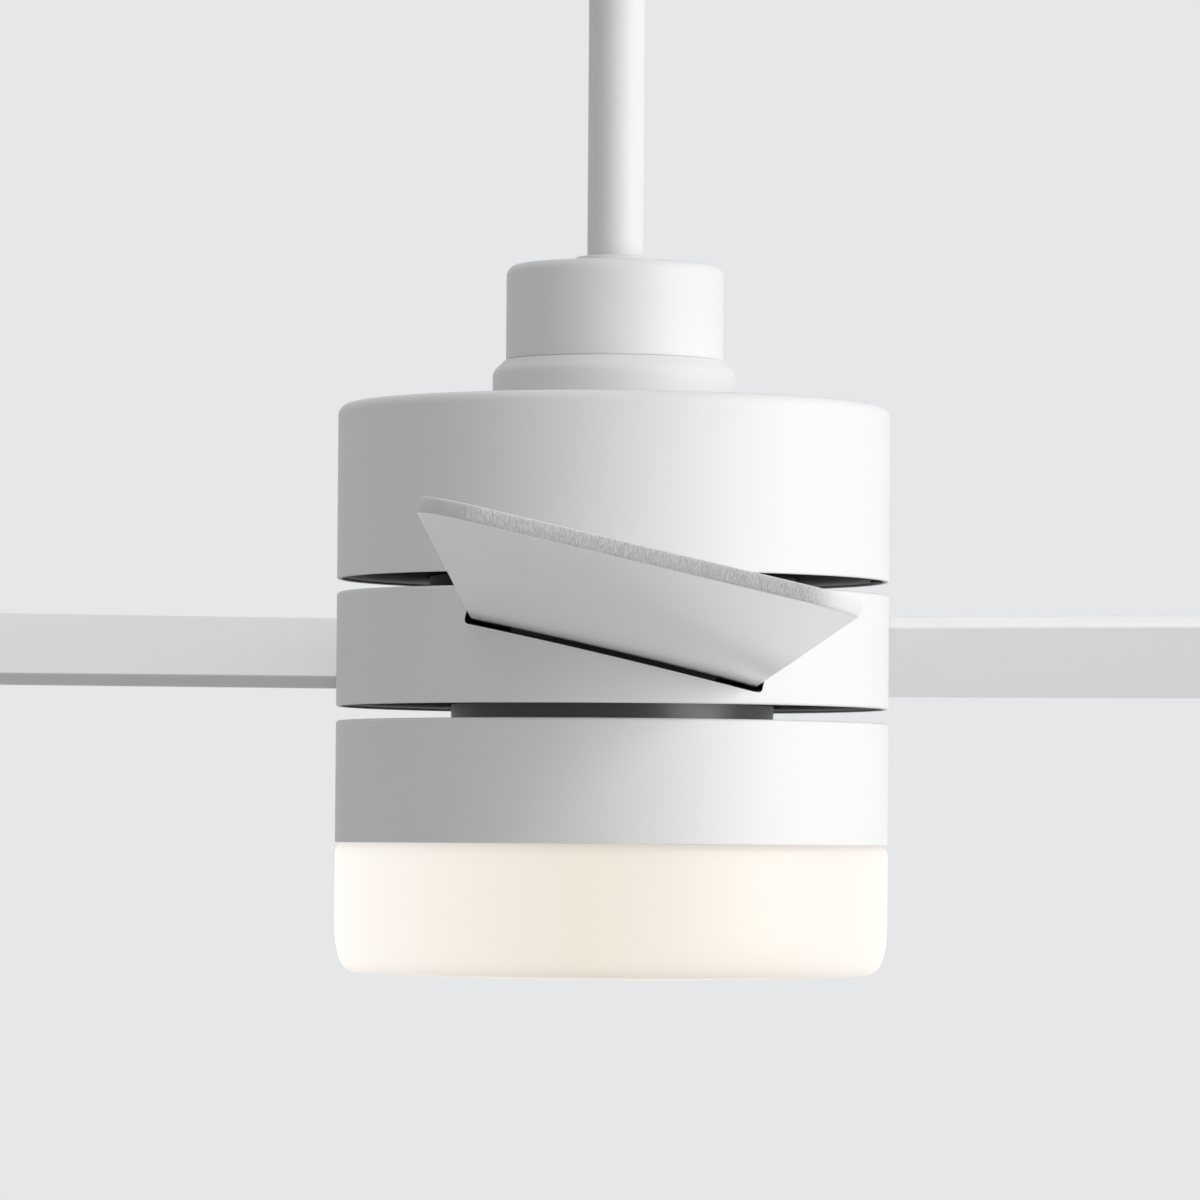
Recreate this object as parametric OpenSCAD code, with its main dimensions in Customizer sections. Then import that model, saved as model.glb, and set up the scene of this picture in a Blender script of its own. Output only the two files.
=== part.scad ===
// Ceiling fan with a round LED light: three blades on a turning ring between two fixed drums,
// hung on a tube from a ball in a ceiling canopy. Millimetres, +Z up.
// The origin is the centre of the mounting strap's top face, where it meets the ceiling.

/* [Canopy and bracket] */
// Outer diameter of the ceiling canopy
canopy_d = 150; // [148:1:180]
// Height of the ceiling canopy
canopy_h = 70; // [68:1:100]
// Sheet thickness of the canopy
canopy_wall = 1.5; // [1:0.1:2]
// Radius of the canopy's lower edge
canopy_fillet = 5; // [3:0.5:12]
// Swing of the ball to each side, in degrees
swing = 15; // [8:1:15]
// Width of the mounting strap
strap_w = 44; // [42:1:52]
// Thickness of the mounting strap
strap_t = 3; // [2.5:0.5:4]
// Distance between the outlet box screws
box_screw_spacing = 88.9; // [84:0.1:96]
// Width of the two slots in the strap
slot_w = 5.5; // [4.5:0.1:6]
// End to end length of the two slots
slot_l = 14; // [10:0.5:16]
// Width of the ball hanger across its legs
hanger_w = 72; // [68:1:74]
// Sheet thickness of the ball hanger
hanger_t = 2.5; // [2:0.5:3]
// Thickness of the receiver box
receiver_h = 15; // [10:0.5:16]

/* [Hanger ball] */
// Radius of the hanger ball
ball_r = 26; // [25:0.5:27]
// Distance from the ceiling to the centre of the ball
ball_drop = 44; // [43:0.5:46]

/* [Downrod] */
// Outer diameter of the downrod
rod_d = 25.4; // [24:0.1:26]
// Wall of the downrod
rod_wall = 2.7; // [2:0.1:3]
// Length of rod that shows between canopy and coupling cover
rod_shown = 240; // [120:5:900]

/* [Coupling] */
// Diameter of the coupling cover
cover_d = 98.5; // [92:0.5:104]
// Height of the coupling cover
cover_h = 43.5; // [38:0.5:70]
// Sheet thickness of the coupling cover
cover_wall = 1.5; // [1:0.1:2]
// Radius of the cover's upper edge
cover_fillet = 5; // [2:0.5:8]
// Height of the stepped collar under the cover
collar_h = 20.5; // [20:0.5:28]
// How far the collar's foot stands out past the cover
collar_step = 6; // [5:0.25:10]
// Outer diameter of the yoke's socket
yoke_d = 38; // [34:0.5:44]
// Diameter of the yoke's flange
yoke_flange_d = 84; // [80:1:86]
// Diameter of the clevis pin
clevis_d = 6.2; // [5:0.1:6.6]

/* [Drums] */
// Diameter of the two fixed drums, the blade ring and the light
body_d = 250; // [246:1:270]
// Height of the upper drum
upper_h = 79; // [76:0.5:100]
// Height of the turning blade ring
ring_h = 51.5; // [50:0.5:60]
// Height of the lower drum
lower_h = 55; // [50:0.5:80]
// Running gap above the blade ring
upper_gap = 6.2; // [3:0.1:8]
// Running gap below the blade ring
lower_gap = 6.5; // [4:0.1:10]
// Wall of the drums and the blade ring
drum_wall = 2.5; // [2:0.1:3]
// Radius of the upper drum's top edge
drum_fillet = 5; // [3:0.5:10]
// Radius of the blade ring's and the lower drum's top edges
edge_fillet = 1.5; // [0.5:0.1:2]
// Diameter of the dark neck that carries the lower drum
neck_d = 146; // [136:1:150]

/* [Light] */
// Height of the light's glowing side
glass_h = 58.5; // [45:0.5:80]
// Wall of the diffuser
glass_wall = 3; // [2:0.1:4]
// How far the diffuser's floor bows down
glass_bow = 2.5; // [1:0.5:8]
// Turn that frees the diffuser's lugs, in degrees
lug_turn = 20; // [18:1:30]

/* [Blades] */
// Number of blades
blade_count = 3; // [3]
// Diameter that the blade tips sweep
sweep_d = 1524; // [1000:10:1800]
// Width of a blade where it leaves the ring
blade_root_w = 131; // [110:1:136]
// Width of a blade at its tip
blade_tip_w = 159; // [110:1:180]
// Thickness of a blade
blade_t = 6; // [5:0.1:6.5]
// Pitch of a blade, in degrees
blade_pitch = 13; // [8:0.5:13.5]
// Upward slope of a blade from root to tip, in degrees
blade_rise = 1.1; // [0:0.1:1.5]
// Corner radius at the blade tips
tip_corner_r = 22; // [5:1:50]

/* [Motor] */
// Diameter of the rotor shells
rotor_d = 166; // [164:1:170]
// Diameter of the hollow shaft
shaft_d = 15; // [15]
// Bore of the hollow shaft
shaft_bore = 9; // [8:0.1:9.5]
// Diameter of the stator's laminations
stator_d = 130; // [126:0.5:131]
// Thickness of the lamination stack
stator_h = 22; // [16:0.5:24]
// Number of stator teeth
tooth_count = 12; // [12]
// Number of magnets
magnet_count = 14; // [10:2:16]

/* [Hidden] */
$fn = 96;

// Fits
slip = 0.05;         // radial clearance of a sliding fit
press = 0.03;        // radial clearance of a bearing ring on its seat
screw_slip = 0.1;    // radial clearance of a screw in its hole
seam = 0.3;          // gap between covers that only just clear each other
root = 0.5;          // how far a ledge runs into the wall that it grows from
least_fillet = 0.5;  // inner corner of a pressed cup with a tight edge
head_ratio = 1.8;    // a screw head's radius over its shank's

// Radii
canopy_r = canopy_d / 2;
rod_r = rod_d / 2;
rod_bore_r = rod_r - rod_wall;
cover_r = cover_d / 2;
body_r = body_d / 2;
drum_in_r = body_r - drum_wall;
rotor_r = rotor_d / 2;
shaft_r = shaft_d / 2;
neck_r = neck_d / 2;
sweep_r = sweep_d / 2;

// Heights, from the ceiling down
bowl_depth = 12;                     // underside of the hanger below the ball's centre
z_ball = -ball_drop;
z_hanger_top = -strap_t;
z_hanger_bottom = z_ball - bowl_depth;
z_cover_top = -canopy_h - rod_shown;
z_cover_bottom = z_cover_top - cover_h;
z_upper_top = z_cover_bottom - collar_h;
z_upper_bottom = z_upper_top - upper_h;
z_ring_top = z_upper_bottom - upper_gap;
z_ring_bottom = z_ring_top - ring_h;
z_lower_top = z_ring_bottom - lower_gap;
z_lower_bottom = z_lower_top - lower_h;
z_blade = (z_ring_top + z_ring_bottom) / 2;

// Hanger ball and the top of the rod
ball_top = 10;                       // flat above the ball's centre
ball_bottom = 18;                    // flat below the ball's centre
rod_over_ball = 12;                  // end of the rod above the ball's centre
z_rod_top = z_ball + rod_over_ball;
ball_pin_r = 2.5;
ball_pin_l = 44;
ball_pin_rise = 2;
z_ball_pin = z_ball + ball_pin_rise;
ball_screw_r = 2.5;
ball_screw_l = 9;
ball_screw_rise = 4;
z_ball_screw = z_ball + ball_screw_rise;
key_w = 4.8;                         // tab in the hanger that keeps the ball from turning
key_depth = 3.2;
entry_slack = 1.6;
entry_w = rod_d + entry_slack;       // slot in the hanger that lets the rod in from the side
bowl_t = 2.6;

// Strap, hanger and canopy fixings
strap_slack = 0.5;
strap_r = canopy_r - canopy_wall - strap_slack;
ear_w = 16;
ear_t = 2.5;
ear_x = strap_r - seam;               // outer face of an ear
ear_h = 22;
z_canopy_screw = -14;
canopy_screw_l = 9;                   // shank inside the canopy
canopy_head_r = 4;
canopy_head_h = 2.2;
canopy_hole_slack = 1.9;
canopy_hole_r = (canopy_h - ball_drop) * tan(swing) + rod_r / cos(swing) + canopy_hole_slack;
canopy_screw_r = 1.95;
window_l = 34;                        // wire window beside the strap's centre
window_w = 12;
window_y = 12;
rivet_inset = 7;
rivet_x = hanger_w / 2 - rivet_inset;
rivet_y = 14;
rivet_r = 2.4;
rivet_head_h = 1.8;
receiver_slack = 0.8;
receiver_w = 2 * (rivet_x - head_ratio * rivet_r - receiver_slack);
receiver_depth = 36;
hanger_top_depth = 40;
bowl_rim = 2;                         // top of the bowl below the ball's centre
earth_r = 2;
earth_head_h = 2.6;
hanger_depth = 60;
leg_depth = 32;
earth_x = 60;

// Coupling
yoke_r = yoke_d / 2;
yoke_flange_r = yoke_flange_d / 2;
yoke_flange_t = 7;
socket_floor = 5;                     // floor of the rod's socket above the flange
socket_depth = 40;
z_rod_bottom = z_upper_top + yoke_flange_t + socket_floor;
z_yoke_top = z_rod_bottom + socket_depth;
web_t = 4;                            // floor between the rod's socket and the shaft's
z_shaft_top = z_rod_bottom - web_t;
boss_l = 12.5;                        // yoke's boss below the upper drum's top face
clevis_r = clevis_d / 2;
z_clevis = z_rod_bottom + socket_depth / 2;
set_screw_inset = 8;
z_set_screw = z_yoke_top - set_screw_inset;
set_screw_r = 2.9;
set_screw_out = 6;
jam_nut_r = 5.5;
jam_nut_t = 3;
flange_screw_r = 2.45;
flange_head_h = 3;
flange_screw_circle = 34;
backing_t = 3;
grommet_flange = 3.4;
grommet_lip_h = 2.5;
grommet_lip = 1.5;
grommet_wall = 2.3;
cover_hole_r = rod_r + screw_slip + grommet_wall;
grommet_r = cover_hole_r + grommet_flange;

// Motor, measured down from the upper drum's top face
rotor_drop = 17;
z_rotor_top = z_upper_top - rotor_drop;
rotor_plate = 4;
z_rotor_bottom = z_ring_top - drum_wall;
rotor_lower_h = 20.2;
rotor_wall = 7.9;
z_rotor_joint = z_rotor_bottom + rotor_lower_h;
rotor_in_r = rotor_r - rotor_wall;
bearing_r = 17.5;
bearing_w = 11;
bearing_lip = 1.7;
bearing_boss_r = 22;
bearing_pitch_r = (shaft_r + bearing_r) / 2;
ball_count = 8;
bearing_ball_r = 2.976;
groove_r = bearing_ball_r + 0.04;
race_gap = 3.2;                       // space between a bearing's two rings
cage_t = 2.2;
cage_h = 7.4;
cage_slip = 0.06;
bearing_seat = 3.5;                   // depth of the upper bearing under the rotor's top
z_upper_bearing = z_rotor_top - bearing_seat - bearing_w / 2;
z_lower_bearing = z_rotor_bottom + bearing_lip + bearing_w / 2;
stator_rise = 5.5;                    // stator's middle above the bearings' middle
z_stator = (z_upper_bearing + z_lower_bearing) / 2 + stator_rise;
hub_r = 22;
stator_r = stator_d / 2;
tooth_w = 9;
yoke_iron_r = 39;
coil_in_r = 42;
shoe_t = 4;                           // teeth end in shoes this thick
coil_out_r = stator_r - shoe_t - 2;
coil_over = 7;
back_iron_t = 3;
iron_over = 2;                        // hub and back iron stand out past the stack
back_iron_r = rotor_in_r - slip;
magnet_r = back_iron_r - back_iron_t - slip;
air_gap = 1.2;
circlip_t = 1.2;
circlip_out = 2.1;
circlip_mouth = 4;
groove_depth = 0.6;
rotor_screw_count = 6;
rotor_screw_circle = rotor_r - rotor_wall / 2;
rotor_screw_r = 1.45;
rotor_head_h = 2.6;
rotor_counterbore = 3;
rotor_screw_l = 10;                   // reach into the upper shell
bearing_window_r = 12;

// Blade carrier and ring
carrier_t = 5;
carrier_screw_r = 2.4;
carrier_screw_circle = 60;
carrier_screw_turn = 12;            // degrees to each side of the middle between two blades
carrier_head_h = 2.6;
ring_screw_r = 1.9;
ring_screw_circle = 90;
ring_screw_turn = 10;
ring_screw_depth = 1.8;               // blind holes in the ring's top
carrier_r = 96;
z_carrier_bottom = z_rotor_bottom - carrier_t;
pad_t = 4;
pad_in_r = 64;
pad_out_r = 106;
pad_w = 92;
rib_t = 6;
rib_y = 38;
rib_out_r = 94;
clamp_t = 2;
blade_in_r = 62;
blade_screw_r = 2.4;
blade_head_h = 2.8;
blade_screw_radii = [76, 98];
blade_screw_y = 30;
root_corner_r = 12;
tip_x = sweep_r - body_r;
slot_above = 0.8;
slot_below = 2.8;
slot_side = 1.5;
shield_t = 2;
shield_recess = 1;
rotor_gap = 1.5;                      // running gaps round the rotor and the neck
neck_gap = 3;
shield_seat = shield_recess + shield_t;
shield_screw_r = 1.5;
shield_head_h = 0.8;
ledge_t = 3;
ledge_w = 6.5;
ledge_r = drum_in_r - ledge_w;

// Lower drum, from its top down
neck_plate_t = 3;
neck_rise = 4.2;                      // neck's top above the ring's lower edge
z_neck_top = z_lower_top + lower_gap + neck_rise;
neck_wall = 3;
spacer_wall = 3;
neck_flange_t = 2.5;
neck_flange_w = 13;
neck_flange_r = neck_r - neck_flange_w;
neck_screw_circle = neck_r - 8;
neck_screw_r = 1.9;
neck_head_h = 2.2;
plate_screw_r = 1.5;
plate_head_h = 1.2;
plate_screw_l = 6;                    // reach into a post
nut_r = 13;
nut_t = 5.5;
shaft_end = 1;                        // shaft past the nut
z_shaft_bottom = z_neck_top - neck_plate_t - nut_t - shaft_end;
lower_hole_step = 5;
lower_hole_r = neck_flange_r - lower_hole_step;
led_plate_t = 2;
led_plate_rise = 10;                  // plate's top above the lower drum's rim
z_led_plate = z_lower_bottom + led_plate_rise;
led_plate_gap = 4.5;
led_plate_r = drum_in_r - led_plate_gap;
standoff_r = 3.5;
standoff_inset = 5;
standoff_circle = led_plate_r - standoff_inset;
board_t = 1.6;
board_step = 10;
board_r = led_plate_r - board_step;
lug_t = 1.8;
lug_arc = 0.6 * lug_turn;
lug_stop = 2;                         // arc of the stop at the end of each ledge
diffuser_neck_h = 7;
driver_y = 20;                        // face of the LED driver that the wires enter
driver_l = 96;
driver_w = 42;
driver_h = 22;
foot_l = 8;
foot_t = 2;
diffuser_neck_gap = 2.5;
diffuser_neck_r = drum_in_r - diffuser_neck_gap;

front = -90;   // direction of the first blade

white = [0.93, 0.93, 0.93];
dark = [0.12, 0.13, 0.14];
steel = [0.62, 0.63, 0.65];

// ---- shared shapes ----

module rod(r, z_top, z_bottom)
    translate([0, 0, z_bottom]) cylinder(r = r, h = z_top - z_bottom);

module tube(r_out, r_in, z_top, z_bottom)
    difference() {
        rod(r_out, z_top, z_bottom);
        rod(r_in, z_top + 1, z_bottom - 1);
    }

module cross_rod(r, x_from, x_to, z)
    translate([x_from, 0, z]) rotate([0, 90, 0]) cylinder(r = r, h = x_to - x_from);

// Cylinder-head screw whose shank points up from the seat of its head
module screw_up(r, head_h, z_seat, z_tip)
    union() {
        rod(head_ratio * r, z_seat, z_seat - head_h);
        rod(r, z_tip, z_seat - head_h / 2);
    }

module around(count, radius, start = 0)
    for (i = [0 : count - 1])
        rotate(start + i * 360 / count) translate([radius, 0, 0]) children();

// Socket for a key, cut into the +X end of a grub screw of radius r
module hex_socket(r)
    translate([-r, 0, 0]) rotate([0, 90, 0]) cylinder(r = 0.55 * r, h = r + 1, $fn = 6);

// Pairs of places between the blades, spread to each side of the middle
module between_blades(radius, spread)
    for (i = [0 : blade_count - 1], s = [-1, 1])
        rotate(front + (i + 0.5) * 360 / blade_count + s * spread)
            translate([radius, 0, 0]) children();

function arc(x, y, r, a0, a1, n) =
    [for (i = [0 : n]) let (a = a0 + (a1 - a0) * i / n) [x + r * cos(a), y + r * sin(a)]];

// Half section of a round block with its top face at height 0 and its top edge rounded
module block_section(r, h, fillet)
    union() {
        translate([0, -h]) square([r, h - fillet]);
        translate([0, -h]) square([r - fillet, h]);
        translate([r - fillet, -fillet]) circle(r = fillet);
    }

// Round cup, open below, with its top face at height 0 and a hole in that face
module cup(r, h, wall, fillet, hole_r)
    rotate_extrude() difference() {
        block_section(r, h, fillet);
        translate([0, -wall]) block_section(r - wall, h, max(fillet - wall, least_fillet));
        translate([-1, -wall - 1]) square([hole_r + 1, wall + 2]);
    }

// Frame of blade i: X runs out along the blade from the ring's wall, Z is its upper face's normal
module blade_frame(i)
    rotate(front + i * 360 / blade_count)
        translate([body_r, 0, z_blade])
            rotate([0, -blade_rise, 0]) rotate([-blade_pitch, 0, 0]) children();

// ---- ceiling bracket and canopy ----

module mounting_strap()
    color(steel) difference() {
        union() {
            intersection() {
                translate([-strap_r, -strap_w / 2, -strap_t]) cube([2 * strap_r, strap_w, strap_t]);
                rod(strap_r - 0.2, 0, -strap_t);
            }
            for (s = [-1, 1])
                translate([s * (ear_x - ear_t / 2) - ear_t / 2, -ear_w / 2, -ear_h])
                    cube([ear_t, ear_w, ear_h]);
        }
        for (s = [-1, 1]) {
            translate([s * box_screw_spacing / 2, 0, -strap_t - 1]) slot_hole();
            for (t = [-1, 1])
                translate([s * rivet_x, t * rivet_y, 0]) rod(rivet_r + screw_slip, 1, -strap_t - 1);
        }
        translate([-window_l / 2, window_y - window_w / 2, -strap_t - 1])
            cube([window_l, window_w, strap_t + 2]);
        translate([-earth_x, 0, 0]) rod(earth_r + screw_slip, 1, -strap_t - 1);
        cross_rod(canopy_screw_r + screw_slip, -canopy_r, canopy_r, z_canopy_screw);
    }

module slot_hole()
    linear_extrude(height = strap_t + 2) union() {
        square([slot_l - slot_w, slot_w], center = true);
        for (s = [-1, 1]) translate([s * (slot_l - slot_w) / 2, 0]) circle(d = slot_w);
    }

module ball_hanger()
    color(steel) difference() {
        union() {
            translate([-hanger_w / 2, -hanger_top_depth / 2, z_hanger_top - hanger_t])
                cube([hanger_w, hanger_top_depth, hanger_t]);
            for (s = [-1, 1])
                translate([s * (hanger_w - hanger_t) / 2 - hanger_t / 2, -leg_depth / 2, z_hanger_bottom])
                    cube([hanger_t, leg_depth, z_hanger_top - z_hanger_bottom]);
            translate([-hanger_w / 2, -hanger_depth / 2, z_hanger_bottom])
                cube([hanger_w, hanger_depth, hanger_t]);
            intersection() {
                translate([0, 0, z_ball]) sphere(r = ball_r + slip + bowl_t);
                rod(ball_r + 2 * bowl_t, z_ball - bowl_rim, z_hanger_bottom);
            }
        }
        difference() {
            translate([0, 0, z_ball]) sphere(r = ball_r + slip);
            ball_key();
        }
        translate([-entry_w / 2, 0, z_hanger_bottom - 1])
            cube([entry_w, hanger_depth / 2 + 1, z_ball - z_hanger_bottom + 1]);
        translate([-window_l / 2, window_y - window_w / 2, z_hanger_top - hanger_t - 1])
            cube([window_l, window_w - 2, hanger_t + 2]);
        for (s = [-1, 1], t = [-1, 1])
            translate([s * rivet_x, t * rivet_y, 0])
                rod(rivet_r + screw_slip, z_hanger_top + 1, z_hanger_top - hanger_t - 1);
    }

// Tab at the front of the bowl, which runs in the groove round the ball
module ball_key()
    intersection() {
        translate([-key_w / 2, 0, z_ball]) rotate([0, 90, 0]) difference() {
            cylinder(r = ball_r + 1, h = key_w);
            translate([0, 0, -1]) cylinder(r = ball_r - key_depth, h = key_w + 2);
        }
        translate([-key_w, -ball_r - 2, z_hanger_bottom])
            cube([2 * key_w, ball_r, z_ball - 4 - z_hanger_bottom]);
    }

module hanger_rivets()
    color(steel) for (s = [-1, 1], t = [-1, 1])
        translate([s * rivet_x, t * rivet_y, 0])
            screw_up(rivet_r, rivet_head_h, z_hanger_top - hanger_t, -seam);

module earth_screw()
    color([0.1, 0.5, 0.25]) translate([-earth_x, 0, 0]) screw_up(earth_r, earth_head_h, -strap_t, -seam);

module receiver_box()
    color([0.9, 0.9, 0.88])
        translate([-receiver_w / 2, -receiver_depth / 2, z_hanger_top - hanger_t - receiver_h])
            difference() {
                cube([receiver_w, receiver_depth, receiver_h]);
                for (i = [0 : 2])
                    translate([receiver_w / 2 - 16 + 12 * i, -1, receiver_h - 8]) cube([8, 3, 4]);
            }

module canopy()
    color(white) difference() {
        translate([0, 0, -canopy_h]) mirror([0, 0, 1])
            cup(canopy_r, canopy_h, canopy_wall, canopy_fillet, canopy_hole_r);
        cross_rod(canopy_screw_r + 2 * screw_slip, -canopy_r - 1, canopy_r + 1, z_canopy_screw);
    }

module canopy_screws()
    color(white) for (a = [0, 180]) rotate(a) {
        cross_rod(canopy_screw_r, canopy_r - canopy_screw_l, canopy_r + 1, z_canopy_screw);
        cross_rod(canopy_head_r, canopy_r, canopy_r + canopy_head_h, z_canopy_screw);
    }

// ---- ball, downrod and wiring ----

module hanger_ball()
    color([0.88, 0.88, 0.86]) difference() {
        intersection() {
            translate([0, 0, z_ball]) sphere(r = ball_r);
            rod(ball_r + 1, z_ball + ball_top, z_ball - ball_bottom);
        }
        rod(rod_r + slip, 0, z_ball - ball_r);
        translate([-key_w / 2 - 0.3, 0, z_ball]) rotate([0, 90, 0]) difference() {
            cylinder(r = ball_r + 1, h = key_w + 0.6);
            translate([0, 0, -1]) cylinder(r = ball_r - key_depth - 0.3, h = key_w + 3);
        }
        cross_rod(ball_pin_r + screw_slip, -ball_r, ball_r, z_ball_pin);
        rotate(45) cross_rod(ball_screw_r + screw_slip, 0, ball_r, z_ball_screw);
    }

module ball_pin()
    color(steel) cross_rod(ball_pin_r, -ball_pin_l / 2, ball_pin_l / 2, z_ball_pin);

module ball_set_screw()
    color(steel) rotate(45) difference() {
        cross_rod(ball_screw_r, rod_r + screw_slip, rod_r + ball_screw_l, z_ball_screw);
        translate([rod_r + ball_screw_l, 0, z_ball_screw]) hex_socket(ball_screw_r);
    }

module downrod()
    color(white) difference() {
        tube(rod_r, rod_bore_r, z_rod_top, z_rod_bottom);
        cross_rod(ball_pin_r + screw_slip, -rod_r - 1, rod_r + 1, z_ball_pin);
        cross_rod(clevis_r + screw_slip, -rod_r - 1, rod_r + 1, z_clevis);
    }

// Wires run beside the two cross pins, then down the shaft's bore to the light's driver
loom_r = 3;
loom_sides = 10;
loom_y = rod_bore_r - loom_r - 0.4;
loom_bore_y = shaft_bore / 2 - loom_r - seam;
loom_route = [
    [0, loom_y, z_rod_top + seam], [0, loom_y, z_ball], [0, loom_y, z_clevis],
    [0, loom_y, z_clevis - 5], [0, loom_y - 1, z_clevis - 9],
    [0, (loom_y + loom_bore_y) / 2, z_clevis - 13], [0, loom_bore_y + 0.8, z_clevis - 17],
    [0, loom_bore_y, z_rod_bottom - 0.5], [0, loom_bore_y, z_shaft_top - 10],
    [0, loom_bore_y, z_shaft_bottom], [0, loom_bore_y + 0.6, z_shaft_bottom - 6],
    [0, loom_bore_y + 3, z_led_plate + 32], [0, loom_bore_y + 7, z_led_plate + 24],
    [0, driver_y - 8, z_led_plate + 17], [0, driver_y - 4, z_led_plate + 14],
    [0, driver_y - 0.1, z_led_plate + 14]];

module supply_loom()
    color([0.2, 0.2, 0.22]) tube_along(loom_route, loom_r, loom_sides);

// Tube swept along points in the YZ plane
module tube_along(path, r, sides) {
    last = len(path) - 1;
    rings = [for (i = [0 : last])
        let (a = path[max(i - 1, 0)], b = path[min(i + 1, last)], t = (b - a) / norm(b - a))
        [for (k = [0 : sides - 1])
            let (w = 360 * k / sides)
            path[i] + r * cos(w) * [1, 0, 0] + r * sin(w) * [0, -t[2], t[1]]]];
    points = [for (ring = rings, p = ring) p];
    walls = [for (i = [0 : last - 1], k = [0 : sides - 1])
        let (n = (k + 1) % sides, a = i * sides + k, b = i * sides + n)
        each [[a, b, b + sides], [a, b + sides, a + sides]]];
    ends = [for (k = [1 : sides - 2])
        each [[0, k + 1, k], [last * sides, last * sides + k, last * sides + k + 1]]];
    polyhedron(points, concat(walls, ends));
}

plug = [10, 8, 7];

module loom_plug()
    color([0.9, 0.9, 0.85]) translate([-plug[0] / 2, loom_y - plug[1] / 2, z_rod_top + seam]) cube(plug);

// ---- coupling under the rod ----

module coupling_cover()
    color(white) translate([0, 0, z_cover_top])
        cup(cover_r, cover_h, cover_wall, cover_fillet, cover_hole_r);

module cover_grommet()
    color(white) translate([0, 0, z_cover_top]) rotate_extrude() polygon([
        [rod_r + screw_slip, -cover_wall - grommet_lip], [grommet_r, -cover_wall - grommet_lip],
        [grommet_r, -cover_wall], [cover_hole_r - slip, -cover_wall], [cover_hole_r - slip, 0],
        [grommet_r, 0], [rod_r + grommet_lip, grommet_lip_h], [rod_r + screw_slip, grommet_lip_h]]);

module yoke()
    color(steel) difference() {
        union() {
            rod(yoke_r, z_yoke_top, z_upper_top - boss_l);
            rod(yoke_flange_r, z_upper_top + yoke_flange_t, z_upper_top);
        }
        rod(rod_r + slip, z_yoke_top + 1, z_rod_bottom);
        rod(shaft_bore / 2, z_rod_bottom + 1, z_shaft_top - 1);
        rod(shaft_r + slip, z_shaft_top, z_upper_top - boss_l - 1);
        cross_rod(clevis_r + screw_slip, -yoke_r - 1, yoke_r + 1, z_clevis);
        rotate(90) cross_rod(set_screw_r + screw_slip, -yoke_r - 1, yoke_r + 1, z_set_screw);
        around(4, flange_screw_circle, 45)
            rod(flange_screw_r + screw_slip, z_upper_top + yoke_flange_t + 1, z_upper_top - 1);
    }

cotter_r = 0.9;
cotter_eye_r = 3;
cotter_half_l = 8;
clevis_head_h = 2.5;
cotter_x = yoke_r + 3.5;

module clevis_pin()
    color(steel) difference() {
        union() {
            cross_rod(clevis_r, -yoke_r - 1, cotter_x + 3, z_clevis);
            cross_rod(1.6 * clevis_r, -yoke_r - clevis_head_h, -yoke_r - slip, z_clevis);
        }
        translate([cotter_x, 0, 0])
            rod(cotter_r + screw_slip, z_clevis + cotter_half_l, z_clevis - cotter_half_l);
    }

module cotter_pin()
    color(steel) translate([cotter_x, 0, z_clevis]) {
        rod(cotter_r, cotter_half_l, -cotter_half_l);
        translate([0, 0, cotter_half_l + cotter_eye_r - cotter_r / 2]) rotate([0, 90, 0])
            rotate_extrude() translate([cotter_eye_r, 0]) circle(r = cotter_r);
    }

module yoke_set_screws()
    color(steel) for (a = [90, 270]) rotate(a) difference() {
        cross_rod(set_screw_r, rod_r + screw_slip, yoke_r + set_screw_out, z_set_screw);
        translate([yoke_r + set_screw_out, 0, z_set_screw]) hex_socket(set_screw_r);
    }

module yoke_jam_nuts()
    color(steel) for (a = [90, 270]) rotate(a)
        translate([yoke_r + slip, 0, z_set_screw]) rotate([0, 90, 0]) difference() {
            cylinder(r = jam_nut_r, h = jam_nut_t, $fn = 6);
            translate([0, 0, -1]) cylinder(r = set_screw_r + screw_slip, h = jam_nut_t + 2);
        }

// Foot, rounded shoulder and 45 degree slope up to the cover's rim
collar_r = cover_r + collar_step;
collar_slack = 1.5;
collar_in_r = yoke_flange_r + collar_slack;
shoulder_r = 5;
collar_rim = 0.8;                     // collar's top land outside the cover
land_r = cover_r + collar_rim;
shoulder_x = collar_r - shoulder_r;
shoulder_z = collar_h - (collar_r - land_r - shoulder_r * (1 - cos(45))) - shoulder_r * sin(45);

module coupling_collar()
    color(white) translate([0, 0, z_upper_top]) rotate_extrude() union() {
        polygon([
            [collar_in_r, 0], [collar_r, 0], [collar_r, shoulder_z],
            [shoulder_x + shoulder_r * cos(45), shoulder_z + shoulder_r * sin(45)],
            [land_r, collar_h], [cover_r - 4, collar_h], [collar_in_r, collar_h - 3]]);
        translate([shoulder_x, shoulder_z]) circle(r = shoulder_r);
    }

module yoke_flange_screws()
    color(steel) around(4, flange_screw_circle, 45) {
        z_seat = z_upper_top + yoke_flange_t;
        union() {
            rod(head_ratio * flange_screw_r, z_seat + flange_head_h, z_seat);
            rod(flange_screw_r, z_seat + 1, z_upper_top - drum_wall - backing_t + seam);
        }
    }

// ---- upper drum ----

// Three places on the ledge that a drum or ring has for its shield, turned from +X by turn
module shield_screw_places(turn)
    around(3, ledge_r + ledge_w / 2, turn) children();

module upper_drum()
    color(white) difference() {
        translate([0, 0, z_upper_top]) union() {
            cup(body_r, upper_h, drum_wall, drum_fillet, yoke_r + screw_slip);
            translate([0, 0, z_upper_bottom - z_upper_top + shield_seat])
                tube(drum_in_r + root, ledge_r, ledge_t, 0);
        }
        around(4, flange_screw_circle, 45)
            rod(flange_screw_r + screw_slip, z_upper_top + 1, z_upper_top - drum_wall - 1);
        shield_screw_places(0)
            rod(shield_screw_r + screw_slip, z_upper_bottom + shield_seat + ledge_t + 1, z_upper_bottom);
    }

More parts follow.
